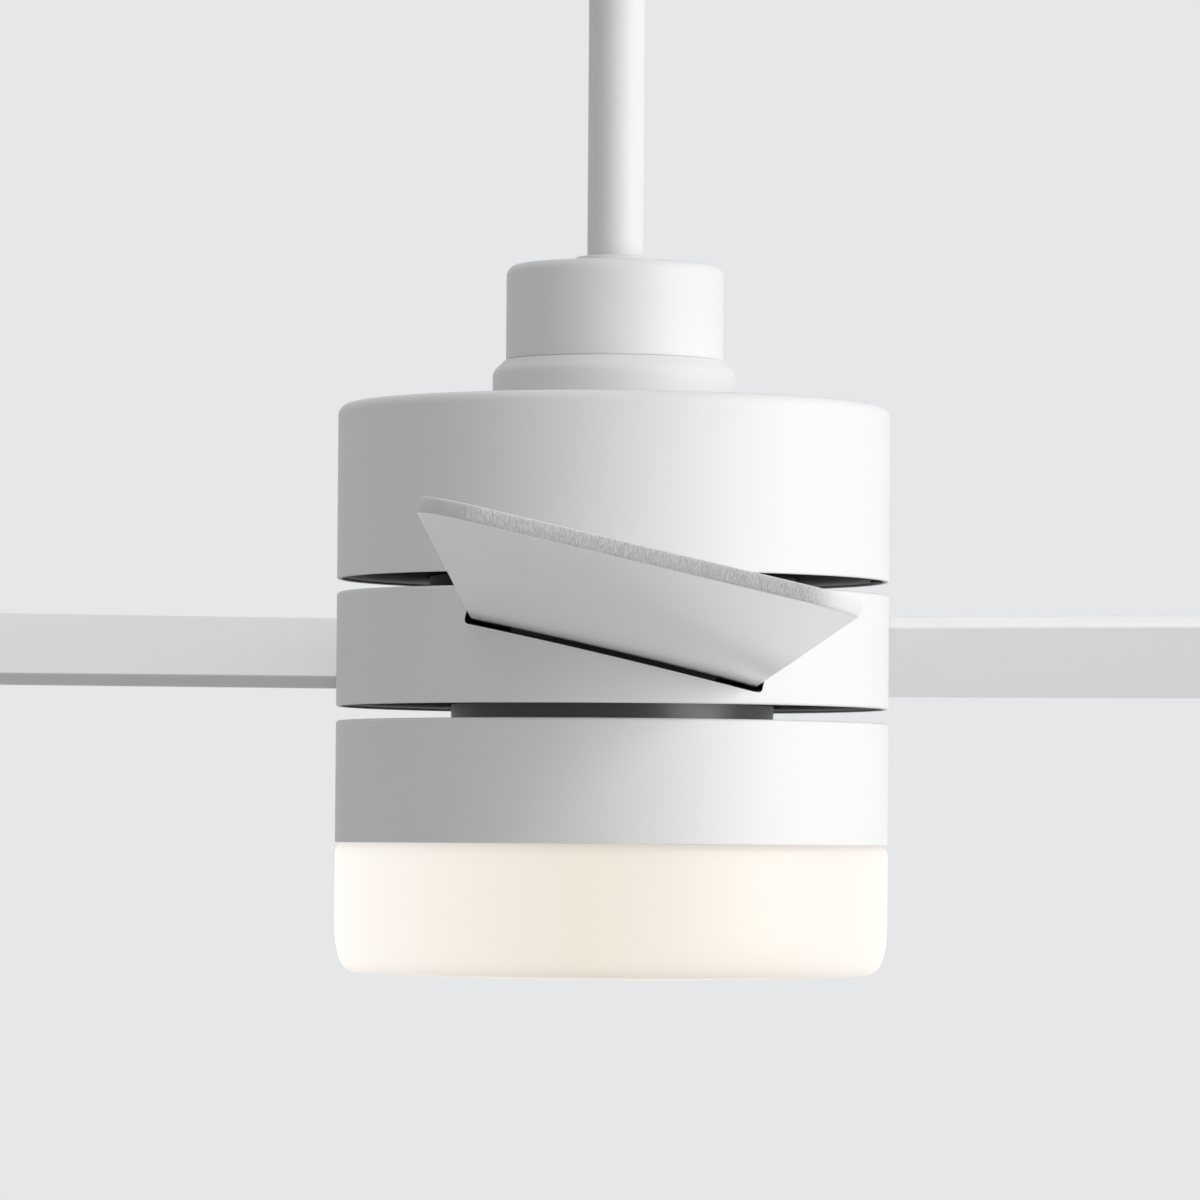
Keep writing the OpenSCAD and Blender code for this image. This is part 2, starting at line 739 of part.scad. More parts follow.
module drum_backing_ring()
    color(steel) difference() {
        tube(yoke_flange_r, yoke_r + 1, z_upper_top - drum_wall, z_upper_top - drum_wall - backing_t);
        around(4, flange_screw_circle, 45)
            rod(flange_screw_r + screw_slip, z_upper_top, z_upper_top - drum_wall - backing_t - 1);
    }

// Black ring that closes the upper drum round the rotor
module upper_shield()
    color(dark) difference() {
        tube(drum_in_r - seam, rotor_r + rotor_gap, z_upper_bottom + shield_seat,
             z_upper_bottom + shield_recess);
        shield_screw_places(0)
            rod(shield_screw_r + screw_slip, z_upper_bottom + shield_seat + 1, z_upper_bottom - 1);
    }

module shield_screws()
    color(dark) {
        shield_screw_places(0)
            screw_up(shield_screw_r, shield_head_h, z_upper_bottom + shield_recess,
                     z_upper_bottom + shield_seat + ledge_t - seam);
    }

// ---- motor ----

module motor_shaft()
    color(steel) difference() {
        tube(shaft_r, shaft_bore / 2, z_shaft_top, z_shaft_bottom);
        for (z = [z_upper_bearing, z_lower_bearing])
            tube(shaft_r + 1, shaft_r - groove_depth, z - bearing_w / 2,
                 z - bearing_w / 2 - circlip_t - slip);
    }

module shaft_circlips()
    color([0.2, 0.2, 0.2]) for (z = [z_upper_bearing, z_lower_bearing])
        difference() {
            tube(shaft_r + circlip_out, shaft_r - groove_depth + screw_slip,
                 z - bearing_w / 2, z - bearing_w / 2 - circlip_t);
            translate([0, -circlip_mouth / 2, z - bearing_w]) cube([2 * shaft_r, circlip_mouth, bearing_w]);
        }

module stator_hub()
    color([0.75, 0.76, 0.78])
        tube(hub_r - slip, shaft_r + slip, z_stator + stator_h / 2 + iron_over,
             z_stator - stator_h / 2 - iron_over);

module stator_core()
    color([0.45, 0.46, 0.48]) translate([0, 0, z_stator]) linear_extrude(height = stator_h, center = true)
        difference() {
            union() {
                circle(r = yoke_iron_r);
                for (i = [0 : tooth_count - 1]) rotate(i * 360 / tooth_count) {
                    translate([yoke_iron_r - 2, -tooth_w / 2])
                        square([stator_r - yoke_iron_r - 1, tooth_w]);
                    intersection() {
                        difference() {
                            circle(r = stator_r);
                            circle(r = stator_r - shoe_t);
                        }
                        shoe = 360 / tooth_count / 2 - 2.2;
                        polygon([[0, 0], 1.2 * stator_r * [cos(shoe), -sin(shoe)],
                                 1.2 * stator_r * [cos(shoe), sin(shoe)]]);
                    }
                }
            }
            circle(r = hub_r);
        }

coil_w = 2 * coil_in_r * tan(180 / tooth_count) - 2;

module stator_coils()
    color([0.72, 0.36, 0.16]) around(tooth_count, 0) difference() {
        translate([coil_in_r, -coil_w / 2, z_stator - stator_h / 2 - coil_over])
            cube([coil_out_r - coil_in_r, coil_w, stator_h + 2 * coil_over]);
        translate([coil_in_r - 1, -tooth_w / 2 - seam, z_stator - stator_h / 2 - seam])
            cube([coil_out_r - coil_in_r + 2, tooth_w + 2 * seam, stator_h + 2 * seam]);
    }

// Deep-groove ball bearing: rings with a groove each, balls in a pocketed cage
module bearing_groove()
    rotate_extrude() translate([bearing_pitch_r, 0]) circle(r = groove_r, $fn = 48);

module bearing_inner()
    difference() {
        tube(bearing_pitch_r - race_gap / 2, shaft_r + press, bearing_w / 2, -bearing_w / 2);
        bearing_groove();
    }

module bearing_outer()
    difference() {
        tube(bearing_r - press, bearing_pitch_r + race_gap / 2, bearing_w / 2, -bearing_w / 2);
        bearing_groove();
    }

module bearing_balls() {
    around(ball_count, bearing_pitch_r) sphere(r = bearing_ball_r);
    difference() {
        tube(bearing_pitch_r + cage_t / 2, bearing_pitch_r - cage_t / 2, cage_h / 2, -cage_h / 2);
        for (i = [0 : ball_count - 1]) rotate(i * 360 / ball_count)
            cross_rod(bearing_ball_r + cage_slip, bearing_pitch_r - cage_t, bearing_pitch_r + cage_t, 0);
    }
}

module upper_bearing_inner() color(steel) translate([0, 0, z_upper_bearing]) bearing_inner();
module upper_bearing_balls() color(steel) translate([0, 0, z_upper_bearing]) bearing_balls();
module upper_bearing_outer() color(steel) translate([0, 0, z_upper_bearing]) bearing_outer();
module lower_bearing_inner() color(steel) translate([0, 0, z_lower_bearing]) bearing_inner();
module lower_bearing_balls() color(steel) translate([0, 0, z_lower_bearing]) bearing_balls();
module lower_bearing_outer() color(steel) translate([0, 0, z_lower_bearing]) bearing_outer();

module rotor_screw_holes()
    around(rotor_screw_count, rotor_screw_circle) {
        rod(rotor_screw_r + screw_slip, z_rotor_joint + rotor_screw_l + 1, z_rotor_bottom - 1);
        rod(2 * rotor_screw_r, z_rotor_bottom + rotor_counterbore, z_rotor_bottom - 1);
    }

module rotor_upper_shell()
    color(dark) difference() {
        union() {
            tube(rotor_r, rotor_in_r, z_rotor_top, z_rotor_joint);
            rod(rotor_r - 1, z_rotor_top, z_rotor_top - rotor_plate);
            rod(bearing_boss_r, z_rotor_top, z_upper_bearing - bearing_w / 2 - root);
        }
        rod(bearing_r, z_upper_bearing + bearing_w / 2, z_rotor_joint);
        rod(bearing_window_r, z_rotor_top + 1, z_rotor_joint);
        rotor_screw_holes();
    }

module rotor_lower_shell()
    color(dark) difference() {
        union() {
            tube(rotor_r, rotor_in_r, z_rotor_joint, z_rotor_bottom);
            rod(rotor_r - 1, z_rotor_bottom + rotor_plate, z_rotor_bottom);
            rod(bearing_boss_r, z_lower_bearing + bearing_w / 2 + root, z_rotor_bottom);
        }
        rod(bearing_r, z_rotor_joint, z_lower_bearing - bearing_w / 2);
        rod(bearing_window_r, z_rotor_joint, z_rotor_bottom - 1);
        rotor_screw_holes();
        carrier_screw_places()
            rod(carrier_screw_r + screw_slip, z_rotor_bottom + rotor_plate + 1, z_rotor_bottom - 1);
    }

module rotor_screws()
    color(steel) around(rotor_screw_count, rotor_screw_circle)
        screw_up(rotor_screw_r, rotor_head_h, z_rotor_bottom + rotor_counterbore,
                 z_rotor_joint + rotor_screw_l);

module back_iron()
    color([0.4, 0.41, 0.43])
        tube(back_iron_r, back_iron_r - back_iron_t, z_stator + stator_h / 2 + iron_over,
             z_stator - stator_h / 2 - iron_over);

module rotor_magnets()
    color([0.3, 0.3, 0.32]) for (i = [0 : magnet_count - 1]) rotate(i * 360 / magnet_count)
        intersection() {
            tube(magnet_r, stator_r + air_gap, z_stator + stator_h / 2 + iron_over / 2,
                 z_stator - stator_h / 2 - iron_over / 2);
            half = 180 / magnet_count - 1.2;
            translate([0, 0, z_stator - stator_h]) linear_extrude(height = 2 * stator_h)
                polygon([[0, 0], 1.2 * magnet_r * [cos(half), -sin(half)],
                         1.2 * magnet_r * [cos(half), sin(half)]]);
        }

// ---- blade ring, carrier and blades ----

// Flat hub with three pitched pads, each standing on three ribs
module blade_carrier()
    color([0.7, 0.71, 0.73]) difference() {
        union() {
            tube(carrier_r, 24, z_rotor_bottom, z_carrier_bottom);
            for (i = [0 : blade_count - 1]) {
                rotate(front + i * 360 / blade_count) for (y = [-rib_y, 0, rib_y])
                    translate([pad_in_r + 2, y - rib_t / 2, z_blade - 25])
                        cube([rib_out_r - pad_in_r - 2, rib_t, z_carrier_bottom + 1 - z_blade + 25]);
                blade_frame(i) translate([pad_in_r - body_r, -pad_w / 2, blade_t / 2])
                    cube([pad_out_r - pad_in_r, pad_w, pad_t]);
            }
        }
        for (i = [0 : blade_count - 1]) blade_frame(i) {
            translate([-body_r + pad_in_r - 10, -pad_w, blade_t / 2 - pad_w])
                cube([pad_w, 2 * pad_w, pad_w]);
            blade_screw_places() translate([0, 0, blade_t / 2 - 1])
                cylinder(r = blade_screw_r + screw_slip, h = pad_t + 2);
        }
        carrier_screw_places() rod(carrier_screw_r + screw_slip, z_rotor_bottom + 1, z_carrier_bottom - 1);
        ring_screw_places() rod(ring_screw_r + screw_slip, z_rotor_bottom + 1, z_carrier_bottom - 1);
    }

module carrier_screw_places() between_blades(carrier_screw_circle, carrier_screw_turn) children();
module ring_screw_places() between_blades(ring_screw_circle, ring_screw_turn) children();

// Twelve screws: six hold the carrier to the rotor, six hold the ring to the carrier
module carrier_screws()
    color(steel) {
        carrier_screw_places()
            screw_up(carrier_screw_r, carrier_head_h, z_carrier_bottom,
                     z_rotor_bottom + rotor_plate - seam);
        ring_screw_places()
            screw_up(ring_screw_r, carrier_head_h, z_carrier_bottom,
                     z_rotor_bottom + ring_screw_depth - seam);
    }

module blade_screw_places()
    for (r = blade_screw_radii, s = [-1, 1])
        translate([r - body_r, s * blade_screw_y, 0]) children();

slot_l_ring = blade_root_w + 2 * slot_side;
slot_h = blade_t + slot_above + slot_below;
slot_corner = 2;

// Rounded slot through the ring's wall for one blade
module blade_slot()
    translate([-45, 0, (slot_above - slot_below) / 2]) rotate([90, 0, 90]) linear_extrude(height = 60)
        union() {
            square([slot_l_ring - 2 * slot_corner, slot_h], center = true);
            square([slot_l_ring, slot_h - 2 * slot_corner], center = true);
            for (s = [-1, 1], t = [-1, 1])
                translate([s * (slot_l_ring / 2 - slot_corner), t * (slot_h / 2 - slot_corner)])
                    circle(r = slot_corner, $fn = 32);
        }

module blade_ring()
    color(white) difference() {
        union() {
            translate([0, 0, z_ring_top]) cup(body_r, ring_h, drum_wall, edge_fillet, rotor_r + 0.4);
            tube(drum_in_r + root, ledge_r, z_ring_bottom + shield_seat + ledge_t,
                 z_ring_bottom + shield_seat);
        }
        for (i = [0 : blade_count - 1]) blade_frame(i) blade_slot();
        ring_screw_places()
            rod(ring_screw_r + screw_slip, z_rotor_bottom + ring_screw_depth, z_rotor_bottom - 1);
        shield_screw_places(front + 60)
            rod(shield_screw_r + screw_slip, z_ring_bottom + shield_seat + ledge_t + 1, z_ring_bottom);
    }

// Dark plate that closes the ring from below
module ring_shield()
    color(dark) difference() {
        tube(drum_in_r - seam, neck_r + neck_gap, z_ring_bottom + shield_seat,
             z_ring_bottom + shield_recess);
        shield_screw_places(front + 60)
            rod(shield_screw_r + screw_slip, z_ring_bottom + shield_seat + 1, z_ring_bottom - 1);
    }

// Outline of a blade: straight sides that spread towards the tip, four rounded corners
blade_spread = atan((blade_tip_w - blade_root_w) / 2 / tip_x);
corner_steps = 16;
function corner(x, r) = [x, blade_root_w / 2 + tan(blade_spread) * x - r / cos(blade_spread)];
function corner_arc(c, r, from, to) =
    [for (k = [0 : corner_steps]) let (a = from + (to - from) * k / corner_steps) c + r * [cos(a), sin(a)]];
blade_edge = concat(
    corner_arc(corner(blade_in_r - body_r + root_corner_r, root_corner_r), root_corner_r,
               180, 90 + blade_spread),
    corner_arc(corner(tip_x - tip_corner_r, tip_corner_r), tip_corner_r, 90 + blade_spread, 0));
far_edge = [for (i = [len(blade_edge) - 1 : -1 : 0]) [blade_edge[i][0], -blade_edge[i][1]]];

module blade(i)
    color(white) blade_frame(i) difference() {
        linear_extrude(height = blade_t, center = true) polygon(concat(blade_edge, far_edge));
        blade_screw_places() translate([0, 0, -blade_t])
            cylinder(r = blade_screw_r + screw_slip, h = 2 * blade_t);
    }

module blade_1() blade(0);
module blade_2() blade(1);
module blade_3() blade(2);

module blade_clamps()
    color(steel) for (i = [0 : blade_count - 1]) blade_frame(i) difference() {
        translate([pad_in_r + 2 - body_r, -pad_w / 2, -blade_t / 2 - clamp_t])
            cube([pad_out_r - pad_in_r, pad_w, clamp_t]);
        blade_screw_places() translate([0, 0, -blade_t - clamp_t])
            cylinder(r = blade_screw_r + screw_slip, h = blade_t + clamp_t);
    }

module blade_screws()
    color(steel) for (i = [0 : blade_count - 1]) blade_frame(i) blade_screw_places()
        screw_up(blade_screw_r, blade_head_h, -blade_t / 2 - clamp_t, blade_t / 2 + pad_t - seam);

// ---- neck, lower drum and light ----

module shaft_spacer()
    color(steel)
        tube(shaft_r + spacer_wall, shaft_r + slip, z_lower_bearing - bearing_w / 2 - circlip_t - slip,
             z_neck_top);

module light_neck()
    color(dark) difference() {
        union() {
            rod(neck_r, z_neck_top, z_neck_top - neck_plate_t);
            tube(neck_r, neck_r - neck_wall, z_neck_top - 1, z_lower_top);
            tube(neck_r, neck_flange_r, z_lower_top + neck_flange_t, z_lower_top);
        }
        rod(shaft_r + slip, z_neck_top + 1, z_lower_top);
        around(3, neck_screw_circle, 30)
            rod(neck_screw_r + screw_slip, z_lower_top + neck_flange_t + 1, z_lower_top - 1);
    }

module neck_nut()
    color(steel) difference() {
        translate([0, 0, z_neck_top - neck_plate_t - nut_t]) cylinder(r = nut_r, h = nut_t, $fn = 6);
        rod(shaft_r + slip, z_neck_top, z_lower_top - 5);
    }

module lower_drum()
    color(white) difference() {
        union() {
            translate([0, 0, z_lower_top]) cup(body_r, lower_h, drum_wall, edge_fillet, lower_hole_r);
            around(3, 0, 0) bayonet_ledge();
        }
        around(3, neck_screw_circle, 30)
            rod(neck_screw_r + screw_slip, z_lower_top + 1, z_lower_top - drum_wall - 1);
    }

// Wedge-shaped sector between two angles
module sector(a0, a1, r, z_top, z_bottom)
    translate([0, 0, z_bottom]) linear_extrude(height = z_top - z_bottom)
        polygon([[0, 0], r * [cos(a0), sin(a0)], r * [cos(a1), sin(a1)]]);

z_lug_bottom = z_lower_bottom + diffuser_neck_h - lug_t;
z_ledge = z_lug_bottom - 0.2;
bayonet_t = 2;

module bayonet_ledge() {
    intersection() {
        tube(drum_in_r + root, diffuser_neck_r + seam, z_ledge, z_ledge - bayonet_t);
        sector(-lug_stop - 0.3, lug_arc + 1, 1.1 * body_r, z_lug_bottom, z_lower_bottom);
    }
    intersection() {
        tube(drum_in_r + root, diffuser_neck_r + seam, z_lug_bottom + lug_t + 0.4, z_ledge - bayonet_t);
        sector(-lug_stop - 0.3, -0.3, 1.1 * body_r, z_lug_bottom + 5, z_lower_bottom);
    }
}

// Six screws: three hold the lower drum to the neck, three hold the light's plate to its posts
module light_screws() {
    around(3, neck_screw_circle, 30)
        screw_up(neck_screw_r, neck_head_h, z_lower_top - drum_wall, z_lower_top + neck_flange_t - seam);
    around(3, standoff_circle, 90)
        screw_up(plate_screw_r, plate_head_h, z_led_plate - led_plate_t, z_led_plate + plate_screw_l);
}

module led_standoffs()
    color(steel) {
        around(3, standoff_circle, 90) difference() {
            rod(standoff_r, z_lower_top - drum_wall, z_led_plate);
            rod(plate_screw_r + screw_slip, z_led_plate + plate_screw_l + 1, z_led_plate - 1);
        }
        light_screws();
    }

module led_plate()
    color([0.78, 0.79, 0.8]) difference() {
        rod(led_plate_r, z_led_plate, z_led_plate - led_plate_t);
        around(3, standoff_circle, 90)
            rod(plate_screw_r + screw_slip, z_led_plate + 1, z_led_plate - led_plate_t - 1);
    }

led_rings = [[0.26, 8], [0.48, 14], [0.7, 20], [0.91, 26]];   // share of the radius, and LEDs on it
led_size = 5;
led_h = 0.9;

// Printed board with its rings of LEDs soldered on
module led_board()
    color([0.96, 0.96, 0.94]) {
        z_face = z_led_plate - led_plate_t - board_t;
        union() {
            rod(board_r, z_face + board_t, z_face);
            for (ring = led_rings) around(ring[1], ring[0] * board_r)
                translate([-led_size / 2, -led_size / 2, z_face - led_h])
                    cube([led_size, led_size, led_h + board_t / 2]);
        }
    }

module led_driver()
    color([0.9, 0.9, 0.9]) union() {
        translate([-driver_l / 2, driver_y, z_led_plate]) cube([driver_l, driver_w, driver_h]);
        translate([-driver_l / 2 - foot_l, driver_y + driver_w / 3, z_led_plate])
            cube([driver_l + 2 * foot_l, driver_w / 3, foot_t]);
    }

// Diffuser: a deep opal dish. Its side leaves the rim straight and rounds into the floor by
// |x/a|^3 + |y/b|^3 = 1
glass_corner_w = 12;
glass_corner_h = 28;
function glass_corner(r, floor, w, h, n) =
    [for (i = [0 : n]) let (a = 90 * i / n)
        [r - w + w * pow(cos(a), 2 / 3), floor + h - h * pow(sin(a), 2 / 3)]];

module diffuser()
    color([1, 0.96, 0.88]) translate([0, 0, z_lower_bottom]) {
        rotate_extrude() polygon(concat(
            [[diffuser_neck_r - glass_wall, diffuser_neck_h], [diffuser_neck_r, diffuser_neck_h],
             [diffuser_neck_r, -seam]],
            arc(body_r - 4, -seam - 4, 4, 90, 0, 6),
            glass_corner(body_r, -glass_h, glass_corner_w, glass_corner_h, 14),
            [for (i = [0 : 8]) let (k = i / 8, r = body_r - glass_corner_w)
                [r * (1 - k), -glass_h - glass_bow * (1 - pow(1 - k, 2))]],
            [for (i = [0 : 8]) let (k = i / 8, r = body_r - glass_corner_w)
                [r * k, glass_wall - glass_h - glass_bow * (1 - k * k)]],
            mirrored_back(glass_corner(body_r - glass_wall, glass_wall - glass_h,
                                       glass_corner_w - glass_wall, glass_corner_h - glass_wall, 10)),
            [[body_r - glass_wall, -9], [diffuser_neck_r - glass_wall, -5]]));
        intersection() {
            tube(diffuser_neck_r + 2.2, diffuser_neck_r - 0.5, diffuser_neck_h, diffuser_neck_h - lug_t);
            union() for (i = [0 : 2])
                rotate(120 * i) sector(0, lug_arc, 1.1 * body_r, diffuser_neck_h + 1, 0);
        }
    }
function mirrored_back(points) = [for (i = [len(points) - 1 : -1 : 0]) points[i]];

mounting_strap();
ball_hanger();
hanger_rivets();
earth_screw();
receiver_box();
canopy();
canopy_screws();
hanger_ball();
ball_pin();
ball_set_screw();
downrod();
supply_loom();
loom_plug();
coupling_cover();
cover_grommet();
yoke();
clevis_pin();
cotter_pin();
yoke_set_screws();
yoke_jam_nuts();
coupling_collar();
yoke_flange_screws();
upper_drum();
drum_backing_ring();
upper_shield();
shield_screws();
motor_shaft();
shaft_circlips();
stator_hub();
stator_core();
stator_coils();
upper_bearing_inner();
upper_bearing_balls();
upper_bearing_outer();
lower_bearing_inner();
lower_bearing_balls();
lower_bearing_outer();
rotor_upper_shell();
rotor_lower_shell();
rotor_screws();
back_iron();
rotor_magnets();
blade_carrier();
carrier_screws();
blade_ring();
ring_shield();
blade_1();
blade_2();
blade_3();
blade_clamps();
blade_screws();
shaft_spacer();
light_neck();
neck_nut();
lower_drum();
led_standoffs();
led_plate();
led_board();
led_driver();
diffuser();
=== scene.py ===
"""A ceiling fan with three pitched blades and a round light, built up piece by piece."""
from math import cos, pi, radians, sin, tan

import bpy
import numpy as np
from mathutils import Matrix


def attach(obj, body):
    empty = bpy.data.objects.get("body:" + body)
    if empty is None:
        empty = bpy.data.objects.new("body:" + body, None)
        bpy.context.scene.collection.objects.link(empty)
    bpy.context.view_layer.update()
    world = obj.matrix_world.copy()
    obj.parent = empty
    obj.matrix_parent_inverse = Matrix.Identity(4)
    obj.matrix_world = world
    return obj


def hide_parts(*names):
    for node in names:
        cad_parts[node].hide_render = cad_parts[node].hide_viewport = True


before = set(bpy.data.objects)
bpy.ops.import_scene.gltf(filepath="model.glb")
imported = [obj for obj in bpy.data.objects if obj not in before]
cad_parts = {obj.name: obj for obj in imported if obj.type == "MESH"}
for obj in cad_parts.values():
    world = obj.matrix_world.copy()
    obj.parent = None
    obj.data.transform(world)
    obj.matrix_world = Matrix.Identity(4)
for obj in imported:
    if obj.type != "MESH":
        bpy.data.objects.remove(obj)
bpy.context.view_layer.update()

# ---- Camera ----
# A long lens a little below the turning ring looks slightly up at the motor, with the first
# blade pointing almost at it. Lengths in this section and the next are in metres.
AXIS_DISTANCE, CAMERA_HEIGHT = 3.155, -0.574
CAMERA_SIDE = radians(0.70)
FRAME_PIXELS = 1200
LENS_PIXELS = 6966
SENSOR = 36

camera_lens = bpy.data.cameras.new("camera")
camera_lens.sensor_width = SENSOR
camera_lens.lens = LENS_PIXELS / FRAME_PIXELS * SENSOR
camera_lens.clip_end = 100
camera = bpy.data.objects.new("camera", camera_lens)
bpy.context.scene.collection.objects.link(camera)
camera.location = (-AXIS_DISTANCE * sin(CAMERA_SIDE), -AXIS_DISTANCE * cos(CAMERA_SIDE),
                   CAMERA_HEIGHT)
pitch_up, roll, yaw = radians(2.04), radians(-0.4), radians(0.092) - CAMERA_SIDE
camera.rotation_euler = (pi / 2 + pitch_up, roll, yaw)
bpy.context.scene.camera = camera
bpy.context.scene.view_settings.view_transform = "Standard"


# ---- Studio ----
# A pale room: even light from all round, one wide soft panel to the right of the camera and
# a floor far below the fan that sends light back up to the undersides.
class Wire:
    """An output in a node tree. Operators on wires and numbers add the Math nodes they mean."""

    def __init__(self, tree, socket):
        self.tree, self.socket = tree, socket

    def math(self, operation, other, swapped=False):
        terms = [other, self] if swapped else [self, other]
        return self.tree.node("Math", {"operation": operation}, dict(enumerate(terms)))

    def __add__(self, other):
        return self.math("ADD", other)

    def __radd__(self, other):
        return self.math("ADD", other, True)

    def __sub__(self, other):
        return self.math("SUBTRACT", other)

    def __rsub__(self, other):
        return self.math("SUBTRACT", other, True)

    def __mul__(self, other):
        return self.math("MULTIPLY", other)

    def __rmul__(self, other):
        return self.math("MULTIPLY", other, True)

    def __pow__(self, other):
        return self.math("POWER", other)

    def __lt__(self, other):
        return self.math("LESS_THAN", other)


class Nodes:
    """The node tree of a material or of the world, emptied."""

    def __init__(self, owner):
        owner.use_nodes = True
        self.tree = owner.node_tree
        self.tree.nodes.clear()

    def node(self, kind, settings, sockets, out=0):
        """Adds a node, sets its settings, then gives its sockets their values or wires."""
        made = self.tree.nodes.new("ShaderNode" + kind)
        for name, value in settings.items():
            setattr(made, name, value)
        for name, value in sockets.items():
            if isinstance(value, Wire):
                self.tree.links.new(value.socket, made.inputs[name])
            else:
                made.inputs[name].default_value = value
        return Wire(self, made.outputs[out]) if len(made.outputs) else None

    def mix(self, mask, low, high):
        """Colour that goes from low to high with the mask."""
        return self.node("Mix", {"data_type": "RGBA"}, {0: mask, 6: low, 7: high}, 2)

    def seen(self):
        """1 for rays from the camera and for reflected ones, or else 0."""
        return (self.node("LightPath", {}, {}, "Is Camera Ray")
                + self.node("LightPath", {}, {}, "Is Glossy Ray"))


def grey(value, warmth=0.0):
    """A neutral colour, redder and less blue by the warmth."""
    return (value * (1 + warmth), value, value * (1 - warmth), 1)


BACKDROP = (0.791, 0.799, 0.815, 1)
HORIZON_LIGHT, ZENITH_LIGHT = 0.15, 1.25
world = bpy.data.worlds.new("studio")
bpy.context.scene.world = world
studio = Nodes(world)
towards = studio.node("SeparateXYZ", {}, {0: studio.node("TexCoord", {}, {}, "Generated")}, "Z")
lighting = studio.mix(towards * towards, grey(HORIZON_LIGHT), grey(ZENITH_LIGHT))
room = studio.mix(studio.seen(), lighting, BACKDROP)
studio.node("OutputWorld", {}, {"Surface": studio.node("Background", {}, {"Color": room})})

FLOOR_HALF, FLOOR_Z, FLOOR_GREY, FLOOR_GLOW = 15, -2.5, 0.68, 0.75
floor_mesh = bpy.data.meshes.new("floor")
floor_mesh.from_pydata([(x, y, FLOOR_Z) for x, y in
                        np.array([(-1, -1), (1, -1), (1, 1), (-1, 1)]) * FLOOR_HALF],
                       [], [(0, 1, 2, 3)])
floor = bpy.data.objects.new("floor", floor_mesh)
bpy.context.scene.collection.objects.link(floor)
floor_material = bpy.data.materials.new("pale_floor")
floor_mesh.materials.append(floor_material)
paper = Nodes(floor_material)
matt = paper.node("BsdfDiffuse", {}, {"Color": grey(FLOOR_GREY)})
pale = paper.node("Emission", {}, {"Color": BACKDROP})
upper_side = paper.node("MixShader", {}, {0: FLOOR_GLOW * paper.seen(), 1: matt, 2: pale})
clear = paper.node("BsdfTransparent", {}, {})
below = paper.node("NewGeometry", {}, {}, "Backfacing")
paper.node("OutputMaterial", {}, {
    "Surface": paper.node("MixShader", {}, {0: below, 1: upper_side, 2: clear})})


def panel(name, place, target, size, power):
    """A square soft light aimed at a point; the camera doesn't see it."""
    lamp = bpy.data.lights.new(name, "AREA")
    lamp.size, lamp.energy = size, power
    light = bpy.data.objects.new(name, lamp)
    bpy.context.scene.collection.objects.link(light)
    light.location = place
    aim = np.subtract(target, place)
    light.rotation_euler = (np.arccos(-aim[2] / np.linalg.norm(aim)), 0,
                            np.arctan2(aim[0], -aim[1]) + pi)
    light.visible_camera = False
    light.visible_glossy = True


KEY_TURN, KEY_DISTANCE, KEY_HEIGHT, KEY_SIZE, KEY_POWER = radians(62), 3.5, -0.12, 2.8, 104
panel("key_panel", (KEY_DISTANCE * sin(KEY_TURN), -KEY_DISTANCE * cos(KEY_TURN), KEY_HEIGHT),
      (0, 0, -0.5), KEY_SIZE, KEY_POWER)


# ---- Ceiling bracket ----
# A strap screwed to the outlet box, with the ball's hanger riveted under it, both pressed from
# zinc-plated steel sheet. Plating shows faint crystals and a dull, uneven shine.
class Finish(Nodes):
    """A material made of nodes that read the piece's own coordinates, in metres."""

    def __init__(self, name, stretch=(1, 1, 1)):
        self.material = bpy.data.materials.new(name)
        super().__init__(self.material)
        self.object = self.node("TexCoord", {}, {}, "Object")
        self.place = self.node("Mapping", {}, {"Vector": self.object, "Scale": stretch})

    def noise(self, per_metre, detail=2.0, place=None):
        """Cloudy value from 0 to 1 with so many cells to the metre."""
        return self.node("TexNoise", {}, {"Vector": place or self.place, "Scale": per_metre,
                                          "Detail": detail})

    def crystals(self, per_metre):
        """Cells with a random colour each, so many to the metre."""
        return self.node("TexVoronoi", {}, {"Vector": self.place, "Scale": per_metre}, "Color")

    def across(self, axis, source=None):
        """One coordinate of the place, X, Y or Z."""
        return self.node("SeparateXYZ", {}, {0: source or self.object}, axis)

    def bump(self, height, depth, under=None):
        """Normal of a relief whose height of 1 stands so many metres proud."""
        sockets = {"Height": height, "Distance": depth, "Strength": 1.0}
        if under:
            sockets["Normal"] = under
        return self.node("Bump", {}, sockets)

    def shade(self, sockets):
        """Adds the shader with its sockets' values or wires and returns the material."""
        shader = self.node("BsdfPrincipled", {}, sockets)
        self.node("OutputMaterial", {}, {"Surface": shader})
        return self.material


def dress(material, *nodes):
    """Gives CAD nodes a material."""
    for name in nodes:
        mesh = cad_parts[name].data
        mesh.materials.clear()
        mesh.materials.append(material)


def metal(name, colour, roughness, spread, per_metre, relief, stretch=(1, 1, 1)):
    """Bare or plated metal: clouds in its shine and tone over a fine relief."""
    finish = Finish(name, stretch)
    cloud = finish.noise(per_metre, 4)
    fine = finish.noise(per_metre * 9, 2)
    dull = [*(0.82 * c for c in colour[:3]), 1]
    return finish.shade({
        "Base Color": finish.mix(cloud, dull, colour), "Metallic": 1.0,
        "Roughness": roughness + spread * cloud,
        "Normal": finish.bump(fine, relief)})


def zinc():
    """Zinc plating: flat crystals a few millimetres wide, each with its own shine."""
    finish = Finish("zinc_plate")
    tone = finish.node("SeparateColor", {}, {0: finish.crystals(160)})
    fine = finish.noise(1500)
    return finish.shade({
        "Base Color": finish.mix(tone, (0.50, 0.51, 0.52, 1), (0.68, 0.69, 0.70, 1)),
        "Metallic": 1.0, "Roughness": 0.34 + 0.16 * tone,
        "Normal": finish.bump(fine, 0.00002)})


